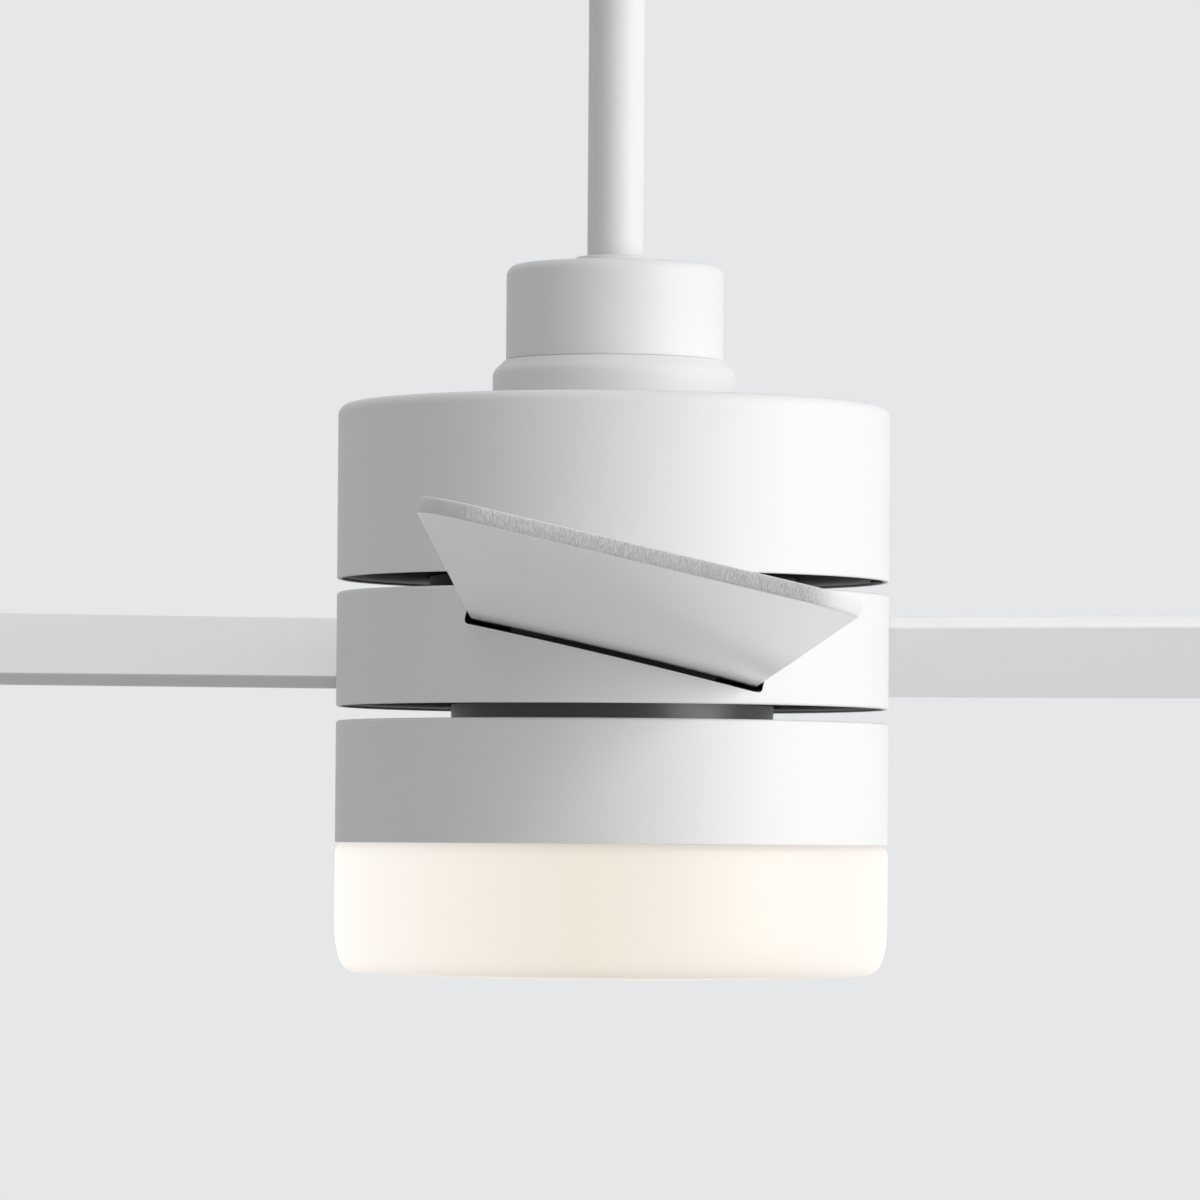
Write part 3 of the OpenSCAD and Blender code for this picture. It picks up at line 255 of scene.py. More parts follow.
galvanised = zinc()
plated = metal("zinc_screws", (0.66, 0.66, 0.67, 1), 0.24, 0.16, 300, 0.00001)
dress(galvanised, "mounting_strap", "ball_hanger", "hanger_rivets", "drum_backing_ring")
dress(plated, "ball_pin", "ball_set_screw", "clevis_pin", "cotter_pin", "yoke_set_screws",
      "yoke_jam_nuts", "yoke_flange_screws", "neck_nut", "led_standoffs", "rotor_screws",
      "carrier_screws", "blade_screws")


def moulded(name, colour, roughness, per_metre, relief):
    """Moulded plastic: fine spark-eroded grain and a faint flow in its tone."""
    finish = Finish(name)
    grain = finish.noise(per_metre, 3)
    flow = finish.noise(14, 3)
    shade = [*(0.93 * c for c in colour[:3]), 1]
    return finish.shade({
        "Base Color": finish.mix(flow, shade, colour),
        "Roughness": roughness + 0.12 * grain,
        "Normal": finish.bump(grain, relief)})


# The green screw takes the earth wire of the house.
dress(moulded("green_earth", (0.05, 0.35, 0.12, 1), 0.3, 2500, 0.000005), "earth_screw")


# ---- Canopy ----
# A cup drawn from steel sheet that hides the bracket. Its rim stands on the ceiling, the rod
# swings in the hole in its floor, and two painted screws hold it to the strap's ears.
def rounded(corners, chords=10, hold=0.35):
    """Closed profile through corners (r, z, fillet). A fillet is an arc between the corner's two
    sides, with a point on each side just past it so that the flat beyond shades flat."""
    corners = np.array(corners, float)
    pieces = []
    for before, here, after in zip(np.roll(corners, 1, 0), corners, np.roll(corners, -1, 0)):
        back, ahead = before[:2] - here[:2], after[:2] - here[:2]
        back, ahead = back / np.linalg.norm(back), ahead / np.linalg.norm(ahead)
        if here[2] == 0:
            pieces.append([here[:2]])
            continue
        half = np.arccos(np.clip(back @ ahead, -1, 1)) / 2
        reach = here[2] / tan(half)
        centre = here[:2] + (back + ahead) / np.linalg.norm(back + ahead) * here[2] / sin(half)
        start, end = here[:2] + back * reach - centre, here[:2] + ahead * reach - centre
        swing = pi - 2 * half
        k = np.linspace(0, 1, chords + 1)[:, None]
        bend = (np.sin((1 - k) * swing) * start + np.sin(k * swing) * end) / sin(swing)
        pieces += [[here[:2] + back * (reach + hold)], centre + bend,
                   [here[:2] + ahead * (reach + hold)]]
    return np.concatenate(pieces)


def lattice(points, ring=True):
    """Points (rows, columns, 3) as corners and quads that face along rows x columns. Columns
    close on themselves, and so do rows where they make a ring."""
    rows, columns = points.shape[:2]
    at = np.arange(rows * columns).reshape(rows, columns)
    over, up = np.roll(at, -1, 0), np.roll(at, -1, 1)
    faces = np.stack([at, over, np.roll(over, -1, 1), up], -1)
    return points.reshape(-1, 3), (faces if ring else faces[:-1]).reshape(-1, 4)


def turned(profile, steps=224):
    """Lathe shape: the closed profile (r, z), anticlockwise, goes once round the Z axis."""
    turn = np.arange(steps)[:, None] * 2 * pi / steps
    r, z = profile.T
    return lattice(np.stack([np.cos(turn) * r, np.sin(turn) * r, 0 * turn + z], -1))


def capped(rings):
    """Rings of points as one closed form, each end drawn together to its middle."""
    ends = rings[[0, -1]].mean(1, keepdims=True) + 0 * rings[[0, -1]]
    return lattice(np.concatenate([ends[:1], rings, ends[1:]]), ring=False)


def mesh_object(name, shapes):
    """One object from shapes in millimetres, with points that coincide made one."""
    corners = np.concatenate([points for points, _ in shapes]) / 1000
    starts = np.cumsum([0] + [len(points) for points, _ in shapes])
    quads = np.concatenate([faces + start for (_, faces), start in zip(shapes, starts)])
    mesh = bpy.data.meshes.new(name)
    mesh.from_pydata(corners, [], quads.tolist())
    made = bpy.data.objects.new(name, mesh)
    bpy.context.scene.collection.objects.link(made)
    weld = made.modifiers.new("weld", "WELD")
    weld.merge_threshold = 1e-6
    return made


def settled(made, sharp=32):
    """Applies an object's modifiers and shades it smooth between its sharp edges."""
    bpy.context.view_layer.update()
    ready = made.evaluated_get(bpy.context.evaluated_depsgraph_get())
    mesh = bpy.data.meshes.new_from_object(ready)
    made.modifiers.clear()
    made.data = mesh
    mesh.name = made.name
    mesh.shade_smooth()
    mesh.set_sharp_from_angle(angle=radians(sharp))
    return made


def piece(name, body, node, finish, slot, *shapes, bores=()):
    """A piece in the place of a CAD node, with holes where the bores are."""
    made = settled(mesh_object(name, shapes))
    if bores:
        cutter = settled(mesh_object("bores", bores))
        cut = made.modifiers.new("bore", "BOOLEAN")
        cut.object, cut.solver = cutter, "EXACT"
        settled(made)
        bpy.data.objects.remove(cutter)
    made.data.materials.clear()
    made.data.materials.append(finish)
    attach(made, body)
    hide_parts(node)
    return made


def sprayed(name, colour, roughness, peel=0.000014):
    """Satin paint: a fine orange peel and faint clouds in tone and gloss."""
    finish = Finish(name)
    skin = finish.noise(700, 2)
    cloud = finish.noise(9, 3)
    return finish.shade({
        "Base Color": finish.mix(cloud, grey(colour * 0.985), grey(colour)),
        "Roughness": roughness + 0.06 * cloud,
        "Normal": finish.bump(skin, peel)})


def bore(radius, start, along, length, steps=32):
    """Round cutter from a point along a direction."""
    along = np.array(along, float)
    side = np.cross(along, (0, 0, 1) if abs(along[2]) < 0.9 else (1, 0, 0))
    side /= np.linalg.norm(side)
    turn = np.arange(steps)[:, None] * 2 * pi / steps
    ring = radius * (np.cos(turn) * side + np.sin(turn) * np.cross(along, side))
    return capped(np.array([ring + start, ring + start + along * length])[::-1])


def around(count, radius, start=0):
    """Points on a circle, from a starting angle in degrees."""
    turn = np.radians(start + np.arange(count) * 360 / count)
    return np.stack([radius * np.cos(turn), radius * np.sin(turn)], -1)


PAINT_GREY, PAINT_ROUGHNESS = 0.79, 0.55
enamel = sprayed("white_enamel", PAINT_GREY, PAINT_ROUGHNESS)
CANOPY_R, CANOPY_H, SHEET, CANOPY_SCREW_Z, CANOPY_SCREW_BORE_R = 75, 70, 1.5, -14, 2.15
ROD_R, BALL_DROP, SWING, SWING_ROOM = 12.7, 44, radians(15), 1.9
SWING_HOLE_R = (CANOPY_H - BALL_DROP) * tan(SWING) + ROD_R / cos(SWING) + SWING_ROOM
piece("canopy_cup", "ceiling_mount", "canopy", enamel, "white_enamel",
      turned(rounded([
          (SWING_HOLE_R, -CANOPY_H, 0.5), (CANOPY_R, -CANOPY_H, 5), (CANOPY_R, 0, 0.5),
          (CANOPY_R - SHEET, 0, 0.5), (CANOPY_R - SHEET, SHEET - CANOPY_H, 3.5),
          (SWING_HOLE_R, SHEET - CANOPY_H, 0.5)], hold=0.3)),
      bores=[bore(CANOPY_SCREW_BORE_R, (s * (CANOPY_R + 3), 0, CANOPY_SCREW_Z), (-s, 0, 0), 8)
             for s in (-1, 1)])
dress(enamel, "canopy_screws")

# The receiver of the remote control is pushed into the canopy between strap and ball.
shell_grain = moulded("receiver_shell", (0.80, 0.80, 0.78, 1), 0.42, 1800, 0.00003)
dress(shell_grain, "receiver_box", "loom_plug")

# ---- Hanger ball and downrod ----
# The ball is moulded nylon with a groove that a tab of the hanger runs in. A steel tube, painted
# as the canopy, is pinned through it. The wires run down inside the tube.
ball_nylon = moulded("ball_nylon", (0.78, 0.78, 0.75, 1), 0.3, 900, 0.00001)
dress(ball_nylon, "hanger_ball")

ROD_WALL, ROD_TOP, ROD_BOTTOM = 2.7, -32, -362
BALL_PIN_Z, BALL_PIN_BORE_R, CLEVIS_Z, CLEVIS_BORE_R = -42, 2.6, -342, 3.2
piece("downrod_tube", "hanging_unit", "downrod", enamel, "white_enamel",
      turned(rounded([
          (ROD_R - ROD_WALL, ROD_BOTTOM, 0.3), (ROD_R, ROD_BOTTOM, 0.5),
          (ROD_R, ROD_TOP, 0.5), (ROD_R - ROD_WALL, ROD_TOP, 0.3)], chords=4, hold=0.2), 96),
      bores=[bore(radius, (-20, 0, z), (1, 0, 0), 40)
             for radius, z in ((BALL_PIN_BORE_R, BALL_PIN_Z), (CLEVIS_BORE_R, CLEVIS_Z))])


def wire_jacket():
    """Dull black jacket, ribbed by the cores twisted inside it."""
    finish = Finish("wire_jacket")
    twist = finish.node("TexWave", {"bands_direction": "DIAGONAL"},
                        {"Vector": finish.place, "Scale": 60.0, "Distortion": 0.4})
    return finish.shade({"Base Color": finish.mix(twist, grey(0.035), grey(0.06)),
                         "Roughness": 0.5 + 0.1 * twist,
                         "Normal": finish.bump(twist, 0.0002)})


dress(wire_jacket(), "supply_loom")

# ---- Coupling and its cover ----
# A plated yoke joins the rod to the motor's shaft with a pin. A drawn cup hides it and slides
# up the rod on a soft plastic lip; a moulded, stepped collar closes the joint below.
iron = metal("cast_yoke", (0.50, 0.51, 0.52, 1), 0.42, 0.2, 120, 0.00012)
dress(iron, "yoke")

shell = sprayed("white_shell", PAINT_GREY, PAINT_ROUGHNESS)
COVER_R, COVER_TOP, COVER_H, COVER_HOLE_R = 49.25, -310, 43.45, 15.1
piece("coupling_cup", "sliding_cover", "coupling_cover", enamel, "white_enamel",
      turned(rounded([
          (COVER_R - SHEET, COVER_TOP - COVER_H, 0.5), (COVER_R, COVER_TOP - COVER_H, 0.8),
          (COVER_R, COVER_TOP, 5), (COVER_HOLE_R, COVER_TOP, 0.3),
          (COVER_HOLE_R, COVER_TOP - SHEET, 0.3), (COVER_R - SHEET, COVER_TOP - SHEET, 3.5)],
          hold=0.3)))
GROMMET_IN_R, GROMMET_R, LIP_H, LIP_T = 12.8, 18.5, 4, 1.5
piece("rod_grommet", "sliding_cover", "cover_grommet", shell, "white_shell",
      turned(rounded([
          (GROMMET_IN_R, COVER_TOP - SHEET - LIP_T, 0.3),
          (GROMMET_R, COVER_TOP - SHEET - LIP_T, 0.5), (GROMMET_R, COVER_TOP - SHEET, 0),
          (COVER_HOLE_R - 0.05, COVER_TOP - SHEET, 0), (COVER_HOLE_R - 0.05, COVER_TOP, 0),
          (GROMMET_R, COVER_TOP, 0), (GROMMET_R, COVER_TOP + LIP_H, 1.8),
          (GROMMET_IN_R, COVER_TOP + LIP_H, 0.3)],
          chords=5, hold=0.1), 96))
COLLAR_BOTTOM, COLLAR_TOP, COLLAR_R, COLLAR_IN_R, LAND_R = -374, -353.5, 55.25, 43.5, 50.05
piece("stepped_collar", "hanging_unit", "coupling_collar", shell, "white_shell",
      turned(rounded([
          (COLLAR_IN_R, COLLAR_BOTTOM, 0.4), (COLLAR_R, COLLAR_BOTTOM, 0.4),
          (COLLAR_R, COLLAR_TOP - COLLAR_R + LAND_R, 5), (LAND_R, COLLAR_TOP, 0.4),
          (COVER_R - 4, COLLAR_TOP, 0.4), (COLLAR_IN_R, COLLAR_TOP - 3, 0.4)])))

# ---- Upper drum ----
# A deep cup with a rounded shoulder, sprayed satin white, fixed to the yoke's flange. A black
# ring, screwed to a ledge inside its rim, closes it round the rotor.
DRUM_R, DRUM_WALL = 125, 2.5
UPPER_TOP, UPPER_BOTTOM = -374, -453
YOKE_HOLE_R, LEDGE_R, LEDGE_T, SHIELD_SEAT, SHIELD_T, SHIELD_FIT = 19.1, 116, 3, 3, 2, 0.3
DRUM_IN_R = DRUM_R - DRUM_WALL
FLANGE_BOLTS, FLANGE_BOLT_BORE_R = around(4, 34, 45), 2.55
SHIELD_SCREWS, SHIELD_SCREW_BORE_R = around(3, 119.25), 1.6
piece("upper_housing", "hanging_unit", "upper_drum", shell, "white_shell",
      turned(rounded([
          (DRUM_IN_R, UPPER_BOTTOM, 0.6), (DRUM_R, UPPER_BOTTOM, 0.8), (DRUM_R, UPPER_TOP, 5),
          (YOKE_HOLE_R, UPPER_TOP, 0.3), (YOKE_HOLE_R, UPPER_TOP - DRUM_WALL, 0.3),
          (DRUM_IN_R, UPPER_TOP - DRUM_WALL, 2.5),
          (DRUM_IN_R, UPPER_BOTTOM + SHIELD_SEAT + LEDGE_T, 0),
          (LEDGE_R, UPPER_BOTTOM + SHIELD_SEAT + LEDGE_T, 0.3),
          (LEDGE_R, UPPER_BOTTOM + SHIELD_SEAT, 0.3),
          (DRUM_IN_R, UPPER_BOTTOM + SHIELD_SEAT, 0)], hold=0.4)),
      bores=[bore(FLANGE_BOLT_BORE_R, (x, y, UPPER_TOP + 2), (0, 0, -1), 8, 24)
             for x, y in FLANGE_BOLTS]
      + [bore(SHIELD_SCREW_BORE_R, (x, y, UPPER_BOTTOM + 8), (0, 0, -1), 7, 20)
         for x, y in SHIELD_SCREWS])

black_moulded = moulded("black_moulded", (0.022, 0.022, 0.024, 1), 0.42, 1600, 0.00003)
ROTOR_R, SHIELD_GAP = 83, 1.5


def shield(hole_r, rim):
    """Flat ring screwed under a cup's ledge, just above its rim."""
    top, bottom = rim + SHIELD_SEAT, rim + SHIELD_SEAT - SHIELD_T
    outer_r = DRUM_IN_R - SHIELD_FIT
    return turned(rounded([(hole_r, bottom, 0.3), (outer_r, bottom, 0.3),
                           (outer_r, top, 0.3), (hole_r, top, 0.3)], chords=4, hold=0.2))


piece("upper_shield_ring", "hanging_unit", "upper_shield", black_moulded, "black_shield",
      shield(ROTOR_R + SHIELD_GAP, UPPER_BOTTOM),
      bores=[bore(SHIELD_SCREW_BORE_R, (x, y, UPPER_BOTTOM + 5), (0, 0, -1), 7, 20)
             for x, y in SHIELD_SCREWS])
dress(metal("black_screws", (0.08, 0.08, 0.085, 1), 0.35, 0.15, 300, 0.00001), "shield_screws")

# ---- Motor ----
# An outer-rotor motor: a hollow ground shaft that stays still, coils on a stack of sheets round
# it, and two die-cast shells with magnets that turn on two ball bearings.
dress(metal("ground_steel", (0.70, 0.71, 0.72, 1), 0.2, 0.12, 60, 0.00001, (1, 1, 8)),
      "motor_shaft", "shaft_spacer")
dress(metal("bearing_chrome", (0.76, 0.77, 0.78, 1), 0.1, 0.1, 400, 0.000004, (1, 1, 6)),
      "shaft_circlips", "upper_bearing_inner", "lower_bearing_inner", "upper_bearing_outer",
      "lower_bearing_outer", "upper_bearing_balls", "lower_bearing_balls")
cast = metal("cast_aluminium", (0.62, 0.63, 0.64, 1), 0.4, 0.18, 200, 0.0001)
dress(cast, "stator_hub", "blade_carrier")


def laminated():
    """Varnished stack of half-millimetre sheets: fine level lines in relief and tone."""
    finish = Finish("laminated_steel")
    sheet_t = 0.0005
    sheet = finish.node("Math", {"operation": "SINE"}, {0: finish.across("Z") * (2 * pi / sheet_t)})
    cloud = finish.noise(90, 3)
    return finish.shade({"Base Color": finish.mix(cloud, grey(0.16), grey(0.30)),
                         "Metallic": 0.8, "Roughness": 0.4 + 0.15 * cloud,
                         "Normal": finish.bump(sheet, 0.00004)})


def wound():
    """Enamelled copper wire wound side by side: rounded ridges over a coil's face."""
    finish = Finish("enamelled_copper")
    ridge = finish.node("TexWave", {"bands_direction": "Z"},
                        {"Vector": finish.place, "Scale": 320.0, "Distortion": 1.2})
    tone = finish.noise(60, 3)
    return finish.shade({"Base Color": finish.mix(tone, (0.42, 0.14, 0.05, 1),
                                                  (0.72, 0.30, 0.12, 1)),
                         "Metallic": 0.9, "Roughness": 0.25 + 0.15 * ridge,
                         "Normal": finish.bump(ridge, 0.00025)})


dress(laminated(), "stator_core", "back_iron")
dress(wound(), "stator_coils")
dress(metal("sintered_magnet", (0.16, 0.16, 0.17, 1), 0.42, 0.2, 500, 0.00004), "rotor_magnets")


def coated(name, colour):
    """Black coating on a casting: a dull skin over small hollows."""
    finish = Finish(name)
    skin = finish.noise(420, 4)
    return finish.shade({"Base Color": finish.mix(skin, grey(colour * 0.7), grey(colour)),
                         "Roughness": 0.45 + 0.2 * skin, "Normal": finish.bump(skin, 0.00006)})


# Black coating on the rotor's shells. The blade clamps get it too, and seen through the slots round
# the blades their black stands in for the shade there: painted shade.
dress(coated("black_coating_and_slot_shade", 0.035), "rotor_upper_shell", "rotor_lower_shell",
      "blade_clamps")

# ---- Blade ring ----
# The ring turns with the rotor: a shallow cup with three slanted slots for the blades, sprayed
# as the drums. A black plate closes it from below.
RING_TOP, RING_BOTTOM = -459.2, -510.7
BLADE_Z, BLADE_PITCH, BLADE_RISE, BLADE_T = -484.95, 13, 1.1, 6
FIRST_BLADE, RING_HOLE_R = -90, 83.4


def turn_about(axis, degrees):
    """Matrix that turns points about X (0), Y (1) or Z (2)."""
    a, b = [(1, 2), (2, 0), (0, 1)][axis]
    matrix = np.eye(3)
    matrix[a, a] = matrix[b, b] = cos(radians(degrees))
    matrix[b, a] = sin(radians(degrees))
    matrix[a, b] = -matrix[b, a]
    return matrix


LEAN = turn_about(1, -BLADE_RISE) @ turn_about(0, -BLADE_PITCH)


def on_blade(points, i):
    """Points of blade i's own frame, X out along it and Z up through it, in the fan's frame."""
    return (points @ LEAN.T + (DRUM_R, 0, BLADE_Z)) @ turn_about(2, FIRST_BLADE + 120 * i).T


def off_blade(points, i):
    """The reverse: points of the fan's frame in blade i's own frame."""
    return (points @ turn_about(2, FIRST_BLADE + 120 * i) - (DRUM_R, 0, BLADE_Z)) @ LEAN


def slot_cutter(i):
    """Bar with rounded corners that cuts blade i's slot."""
    length, height, drop, corner, outer_end, inner_end = 134, 9.6, 1.0, 2, 15, -45
    outline = rounded([(-length / 2, -height / 2, corner), (length / 2, -height / 2, corner),
                       (length / 2, height / 2, corner), (-length / 2, height / 2, corner)],
                      chords=8, hold=0.2)
    y, z = outline.T
    rings = np.stack([np.stack([0 * y + x, y, z - drop], -1) for x in (outer_end, inner_end)])
    points, faces = capped(rings)
    return on_blade(points, i), faces


piece("slotted_ring", "rotor", "blade_ring", shell, "white_shell",
      turned(rounded([
          (DRUM_IN_R, RING_BOTTOM, 0.6), (DRUM_R, RING_BOTTOM, 1.2), (DRUM_R, RING_TOP, 1.5),
          (RING_HOLE_R, RING_TOP, 0.4), (RING_HOLE_R, RING_TOP - DRUM_WALL, 0.4),
          (DRUM_IN_R, RING_TOP - DRUM_WALL, 1.5),
          (DRUM_IN_R, RING_BOTTOM + SHIELD_SEAT + LEDGE_T, 0),
          (LEDGE_R, RING_BOTTOM + SHIELD_SEAT + LEDGE_T, 0.3),
          (LEDGE_R, RING_BOTTOM + SHIELD_SEAT, 0.3), (DRUM_IN_R, RING_BOTTOM + SHIELD_SEAT, 0)],
          hold=0.4)),
      bores=[slot_cutter(i) for i in range(3)])
NECK_R, NECK_GAP = 73, 3
piece("ring_shield_plate", "rotor", "ring_shield", black_moulded, "black_shield",
      shield(NECK_R + NECK_GAP, RING_BOTTOM))


# ---- Blades ----
# Plywood boards sprayed satin white, a little wider at the tip, with rounded corners and soft
# edges. The sawn end grain drinks the paint, so its plies show as fine upright streaks.
ROOT_X, TIP_X, ROOT_HALF, TIP_HALF, ROOT_CORNER, TIP_CORNER = -63, 637, 65.5, 79.5, 12, 22


def blade_outline(steps=12):
    """Right-hand half of the board's outline, from root to tip, then its mirror image back."""
    slope = (TIP_HALF - ROOT_HALF) / TIP_X
    spread = np.arctan(slope)

    def corner(x, radius, start, end):
        """Arc that the end and the spreading side share."""
        turn = np.linspace(start, end, steps)
        y = ROOT_HALF + slope * x - radius / cos(spread)
        return np.stack([x + radius * np.cos(turn), y + radius * np.sin(turn)], -1)

    side = np.concatenate([corner(ROOT_X + ROOT_CORNER, ROOT_CORNER, pi, pi / 2 + spread),
                           corner(TIP_X - TIP_CORNER, TIP_CORNER, pi / 2 + spread, 0)])
    half = np.concatenate([[side[0] * (1, 0.5)], side, [side[-1] * (1, 0.5)]])
    return np.concatenate([half, half[::-1] * (1, -1)])


def board_shape():
    """Board as rings: out over the upper face, round the edge and in again below. In section the
    edge is |x/w|^3 + |z/h|^3 = 1, nearly upright in its middle and soft where it meets a face."""
    outline = blade_outline()[::-1]
    step = np.roll(outline, -1, 0) - np.roll(outline, 1, 0)
    step /= np.linalg.norm(step, axis=1, keepdims=True)
    outward = np.stack([step[:, 1], -step[:, 0]], -1)
    soft, flat = 1.1, 8
    k = np.linspace(-pi / 2, pi / 2, 17)
    inset = soft - soft * np.abs(np.cos(k)) ** (2 / 3)
    height = BLADE_T / 2 * np.sign(k) * np.abs(np.sin(k)) ** (2 / 3)
    inset = np.concatenate([[flat, soft + 0.4], inset, [soft + 0.4, flat]])
    height = height[[0, 0, *range(len(k)), -1, -1]]
    rings = outline - inset[:, None, None] * outward
    spine = outline * (1, 0) - flat * outward * (1, 0)
    rings = np.concatenate([[spine], rings, [spine]])
    height = np.concatenate([[height[0]], height, [height[-1]]])
    return np.concatenate([rings, np.broadcast_to(height[:, None, None],
                                                  (*rings.shape[:2], 1))], -1)


def board_paint():
    """Paint on plywood. The attributes hold the place on the board and where its edge is. The
    sawn tip shows its end grain as upright streaks in tone and relief."""
    finish = Finish("painted_plywood")
    place = finish.node("Attribute", {"attribute_name": "board_place"}, {}, "Vector")
    edge = finish.node("Attribute", {"attribute_name": "board_edge"}, {}, "Fac")
    tip = finish.node("MapRange", {}, {"Value": finish.across("X", place),
                                       1: (TIP_X - 3) / 1000, 2: (TIP_X - 0.5) / 1000})
    along = finish.node("Mapping", {}, {"Vector": place, "Scale": (0.06, 1, 1)})
    grain = finish.noise(260, 4, along)
    skin = finish.noise(700, 2)
    plies = finish.node("Mapping", {}, {"Vector": place, "Scale": (1, 1, 0.3)})
    streak = finish.node("MapRange", {}, {"Value": finish.noise(2200, 5, plies), 1: 0.36, 2: 0.64})
    sawn = finish.mix(streak, grey(0.53), grey(0.71))
    rim = finish.mix(tip, finish.mix(grain, grey(0.68), grey(0.72)), sawn)
    relief = finish.bump(streak * edge * tip, 0.0001)
    return finish.shade({
        "Base Color": finish.mix(edge, finish.mix(grain, grey(0.795), grey(0.82)), rim),
        "Roughness": 0.32 + 0.06 * grain + 0.25 * edge, "Coat Weight": 0.65 - 0.65 * edge,
        "Coat Roughness": 0.14,
        "Normal": finish.bump(0.6 * grain + 0.4 * skin, 0.00002, relief)})


board_finish = board_paint()
board_points, board_faces = lattice(board_shape(), ring=False)
SCREW_X, SCREW_Y, BLADE_SCREW_BORE_R = (-49, -27), (-30, 30), 2.5
RIM_FROM, RIM_FADE = BLADE_T / 2 - 0.05, 0.3
for i in range(3):
    holes = [bore(BLADE_SCREW_BORE_R, (x, y, 8), (0, 0, -1), 16, 20)
             for x in SCREW_X for y in SCREW_Y]
    blade = piece(f"blade_board_{i + 1}", "rotor", f"blade_{i + 1}", board_finish, "blade_white",
                  (on_blade(board_points, i), board_faces),
                  bores=[(on_blade(points, i), faces) for points, faces in holes])
    corners = np.zeros(len(blade.data.vertices) * 3, np.float32)
    blade.data.vertices.foreach_get("co", corners)
    place = off_blade(corners.reshape(-1, 3) * 1000, i)
    blade.data.attributes.new("board_place", "FLOAT_VECTOR", "POINT").data.foreach_set(
        "vector", (place / 1000).ravel())
    rim = np.clip((RIM_FROM - np.abs(place[:, 2])) / RIM_FADE, 0, 1)
    blade.data.attributes.new("board_edge", "FLOAT", "POINT").data.foreach_set("value", rim)

# ---- Neck and lower drum ----
# A grey neck on the shaft carries the lower drum, a cup like the ring, through the gap under
# the turning ring. Three short ledges inside its rim hold the diffuser's lugs.
NECK_TOP, LOWER_TOP, LOWER_BOTTOM = -506.5, -517.2, -572.2
NECK_IN_R, NECK_PLATE_T, SHAFT_HOLE_R, NECK_FLANGE_R, NECK_FLANGE_T = 70, 3, 8.05, 60, 2.5
NECK_SCREWS, NECK_SCREW_BORE_R = around(3, 65, 30), 2.0


def metallic_paint():
    """Dark grey paint with metal flake in it: a satin shine over a fine grain."""
    finish = Finish("neck_grey")
    flake = finish.noise(1400, 3)
    cloud = finish.noise(30, 3)
    return finish.shade({"Base Color": finish.mix(cloud, grey(0.25, -0.02), grey(0.29, -0.02)),
                         "Metallic": 0.5, "Roughness": 0.36 + 0.08 * flake,
                         "Normal": finish.bump(flake, 0.00001)})


neck_paint = metallic_paint()
piece("light_neck_cup", "hanging_unit", "light_neck", neck_paint, "neck_grey",
      turned(rounded([
          (NECK_FLANGE_R, LOWER_TOP, 0.3), (NECK_R, LOWER_TOP, 0.3), (NECK_R, NECK_TOP, 0.8),
          (SHAFT_HOLE_R, NECK_TOP, 0.2), (SHAFT_HOLE_R, NECK_TOP - NECK_PLATE_T, 0.2),
          (NECK_IN_R, NECK_TOP - NECK_PLATE_T, 0.5), (NECK_IN_R, LOWER_TOP + NECK_FLANGE_T, 0.5),
          (NECK_FLANGE_R, LOWER_TOP + NECK_FLANGE_T, 0.3)], chords=5, hold=0.2)),
      bores=[bore(NECK_SCREW_BORE_R, (x, y, LOWER_TOP + 6), (0, 0, -1), 9, 20)
             for x, y in NECK_SCREWS])


def sector(r_in, r_out, z_bottom, z_top, start, end, steps=10):
    """Block between two radii, two heights and two angles in degrees."""
    turn = np.radians(np.linspace(start, end, steps))[:, None]
    r, z = np.array([(r_in, z_bottom), (r_out, z_bottom), (r_out, z_top), (r_in, z_top)]).T
    return capped(np.stack([np.cos(turn) * r, np.sin(turn) * r, 0 * turn + z], -1))


LUG_T, LUG_ARC, LUG_TOP = 1.8, 12, LOWER_BOTTOM + 7
LEDGE_Z, LEDGE_IN_R, LEDGE_OUT_R = LUG_TOP - LUG_T - 0.2, 120.3, DRUM_IN_R + 0.5
LOWER_HOLE_R, STOP_FROM, STOP_TO = 55, -2.3, -0.3
piece("lower_housing", "hanging_unit", "lower_drum", shell, "white_shell",
      turned(rounded([
          (DRUM_IN_R, LOWER_BOTTOM, 0.6), (DRUM_R, LOWER_BOTTOM, 0.6), (DRUM_R, LOWER_TOP, 1.5),
          (LOWER_HOLE_R, LOWER_TOP, 0.4), (LOWER_HOLE_R, LOWER_TOP - DRUM_WALL, 0.4),
          (DRUM_IN_R, LOWER_TOP - DRUM_WALL, 1.5)], hold=0.4)),
      *[sector(LEDGE_IN_R, LEDGE_OUT_R, LEDGE_Z - 2, LEDGE_Z,
               120 * i + STOP_FROM, 120 * i + LUG_ARC + 1) for i in range(3)],
      *[sector(LEDGE_IN_R, LEDGE_OUT_R, LEDGE_Z, LUG_TOP + 0.4,
               120 * i + STOP_FROM, 120 * i + STOP_TO) for i in range(3)])

# ---- Light ----
# LEDs on a white board, screwed to an aluminium plate, with their driver behind it. The opal
# diffuser is a deep blow-moulded dish that twists onto the drum's ledges.
dress(metal("brushed_sheet", (0.74, 0.75, 0.76, 1), 0.28, 0.14, 90, 0.00001, (1, 14, 14)),
      "led_plate")
dress(moulded("driver_case", (0.80, 0.80, 0.79, 1), 0.4, 1700, 0.00003), "led_driver")


LED_BOARD_FACE = -566.1


def led_mask():
    """White lacquer on the board; below its face stand the LEDs with their yellow gel."""
    finish = Finish("led_board_white")
    proud = finish.across("Z") < LED_BOARD_FACE / 1000
    speck = finish.noise(900, 3)
    gel = finish.mix(speck, (0.85, 0.62, 0.18, 1), (0.95, 0.74, 0.28, 1))
    return finish.shade({"Base Color": finish.mix(proud, grey(0.86), gel),
                         "Roughness": 0.35 + 0.1 * speck, "Normal": finish.bump(speck, 0.00001)})


dress(led_mask(), "led_board")

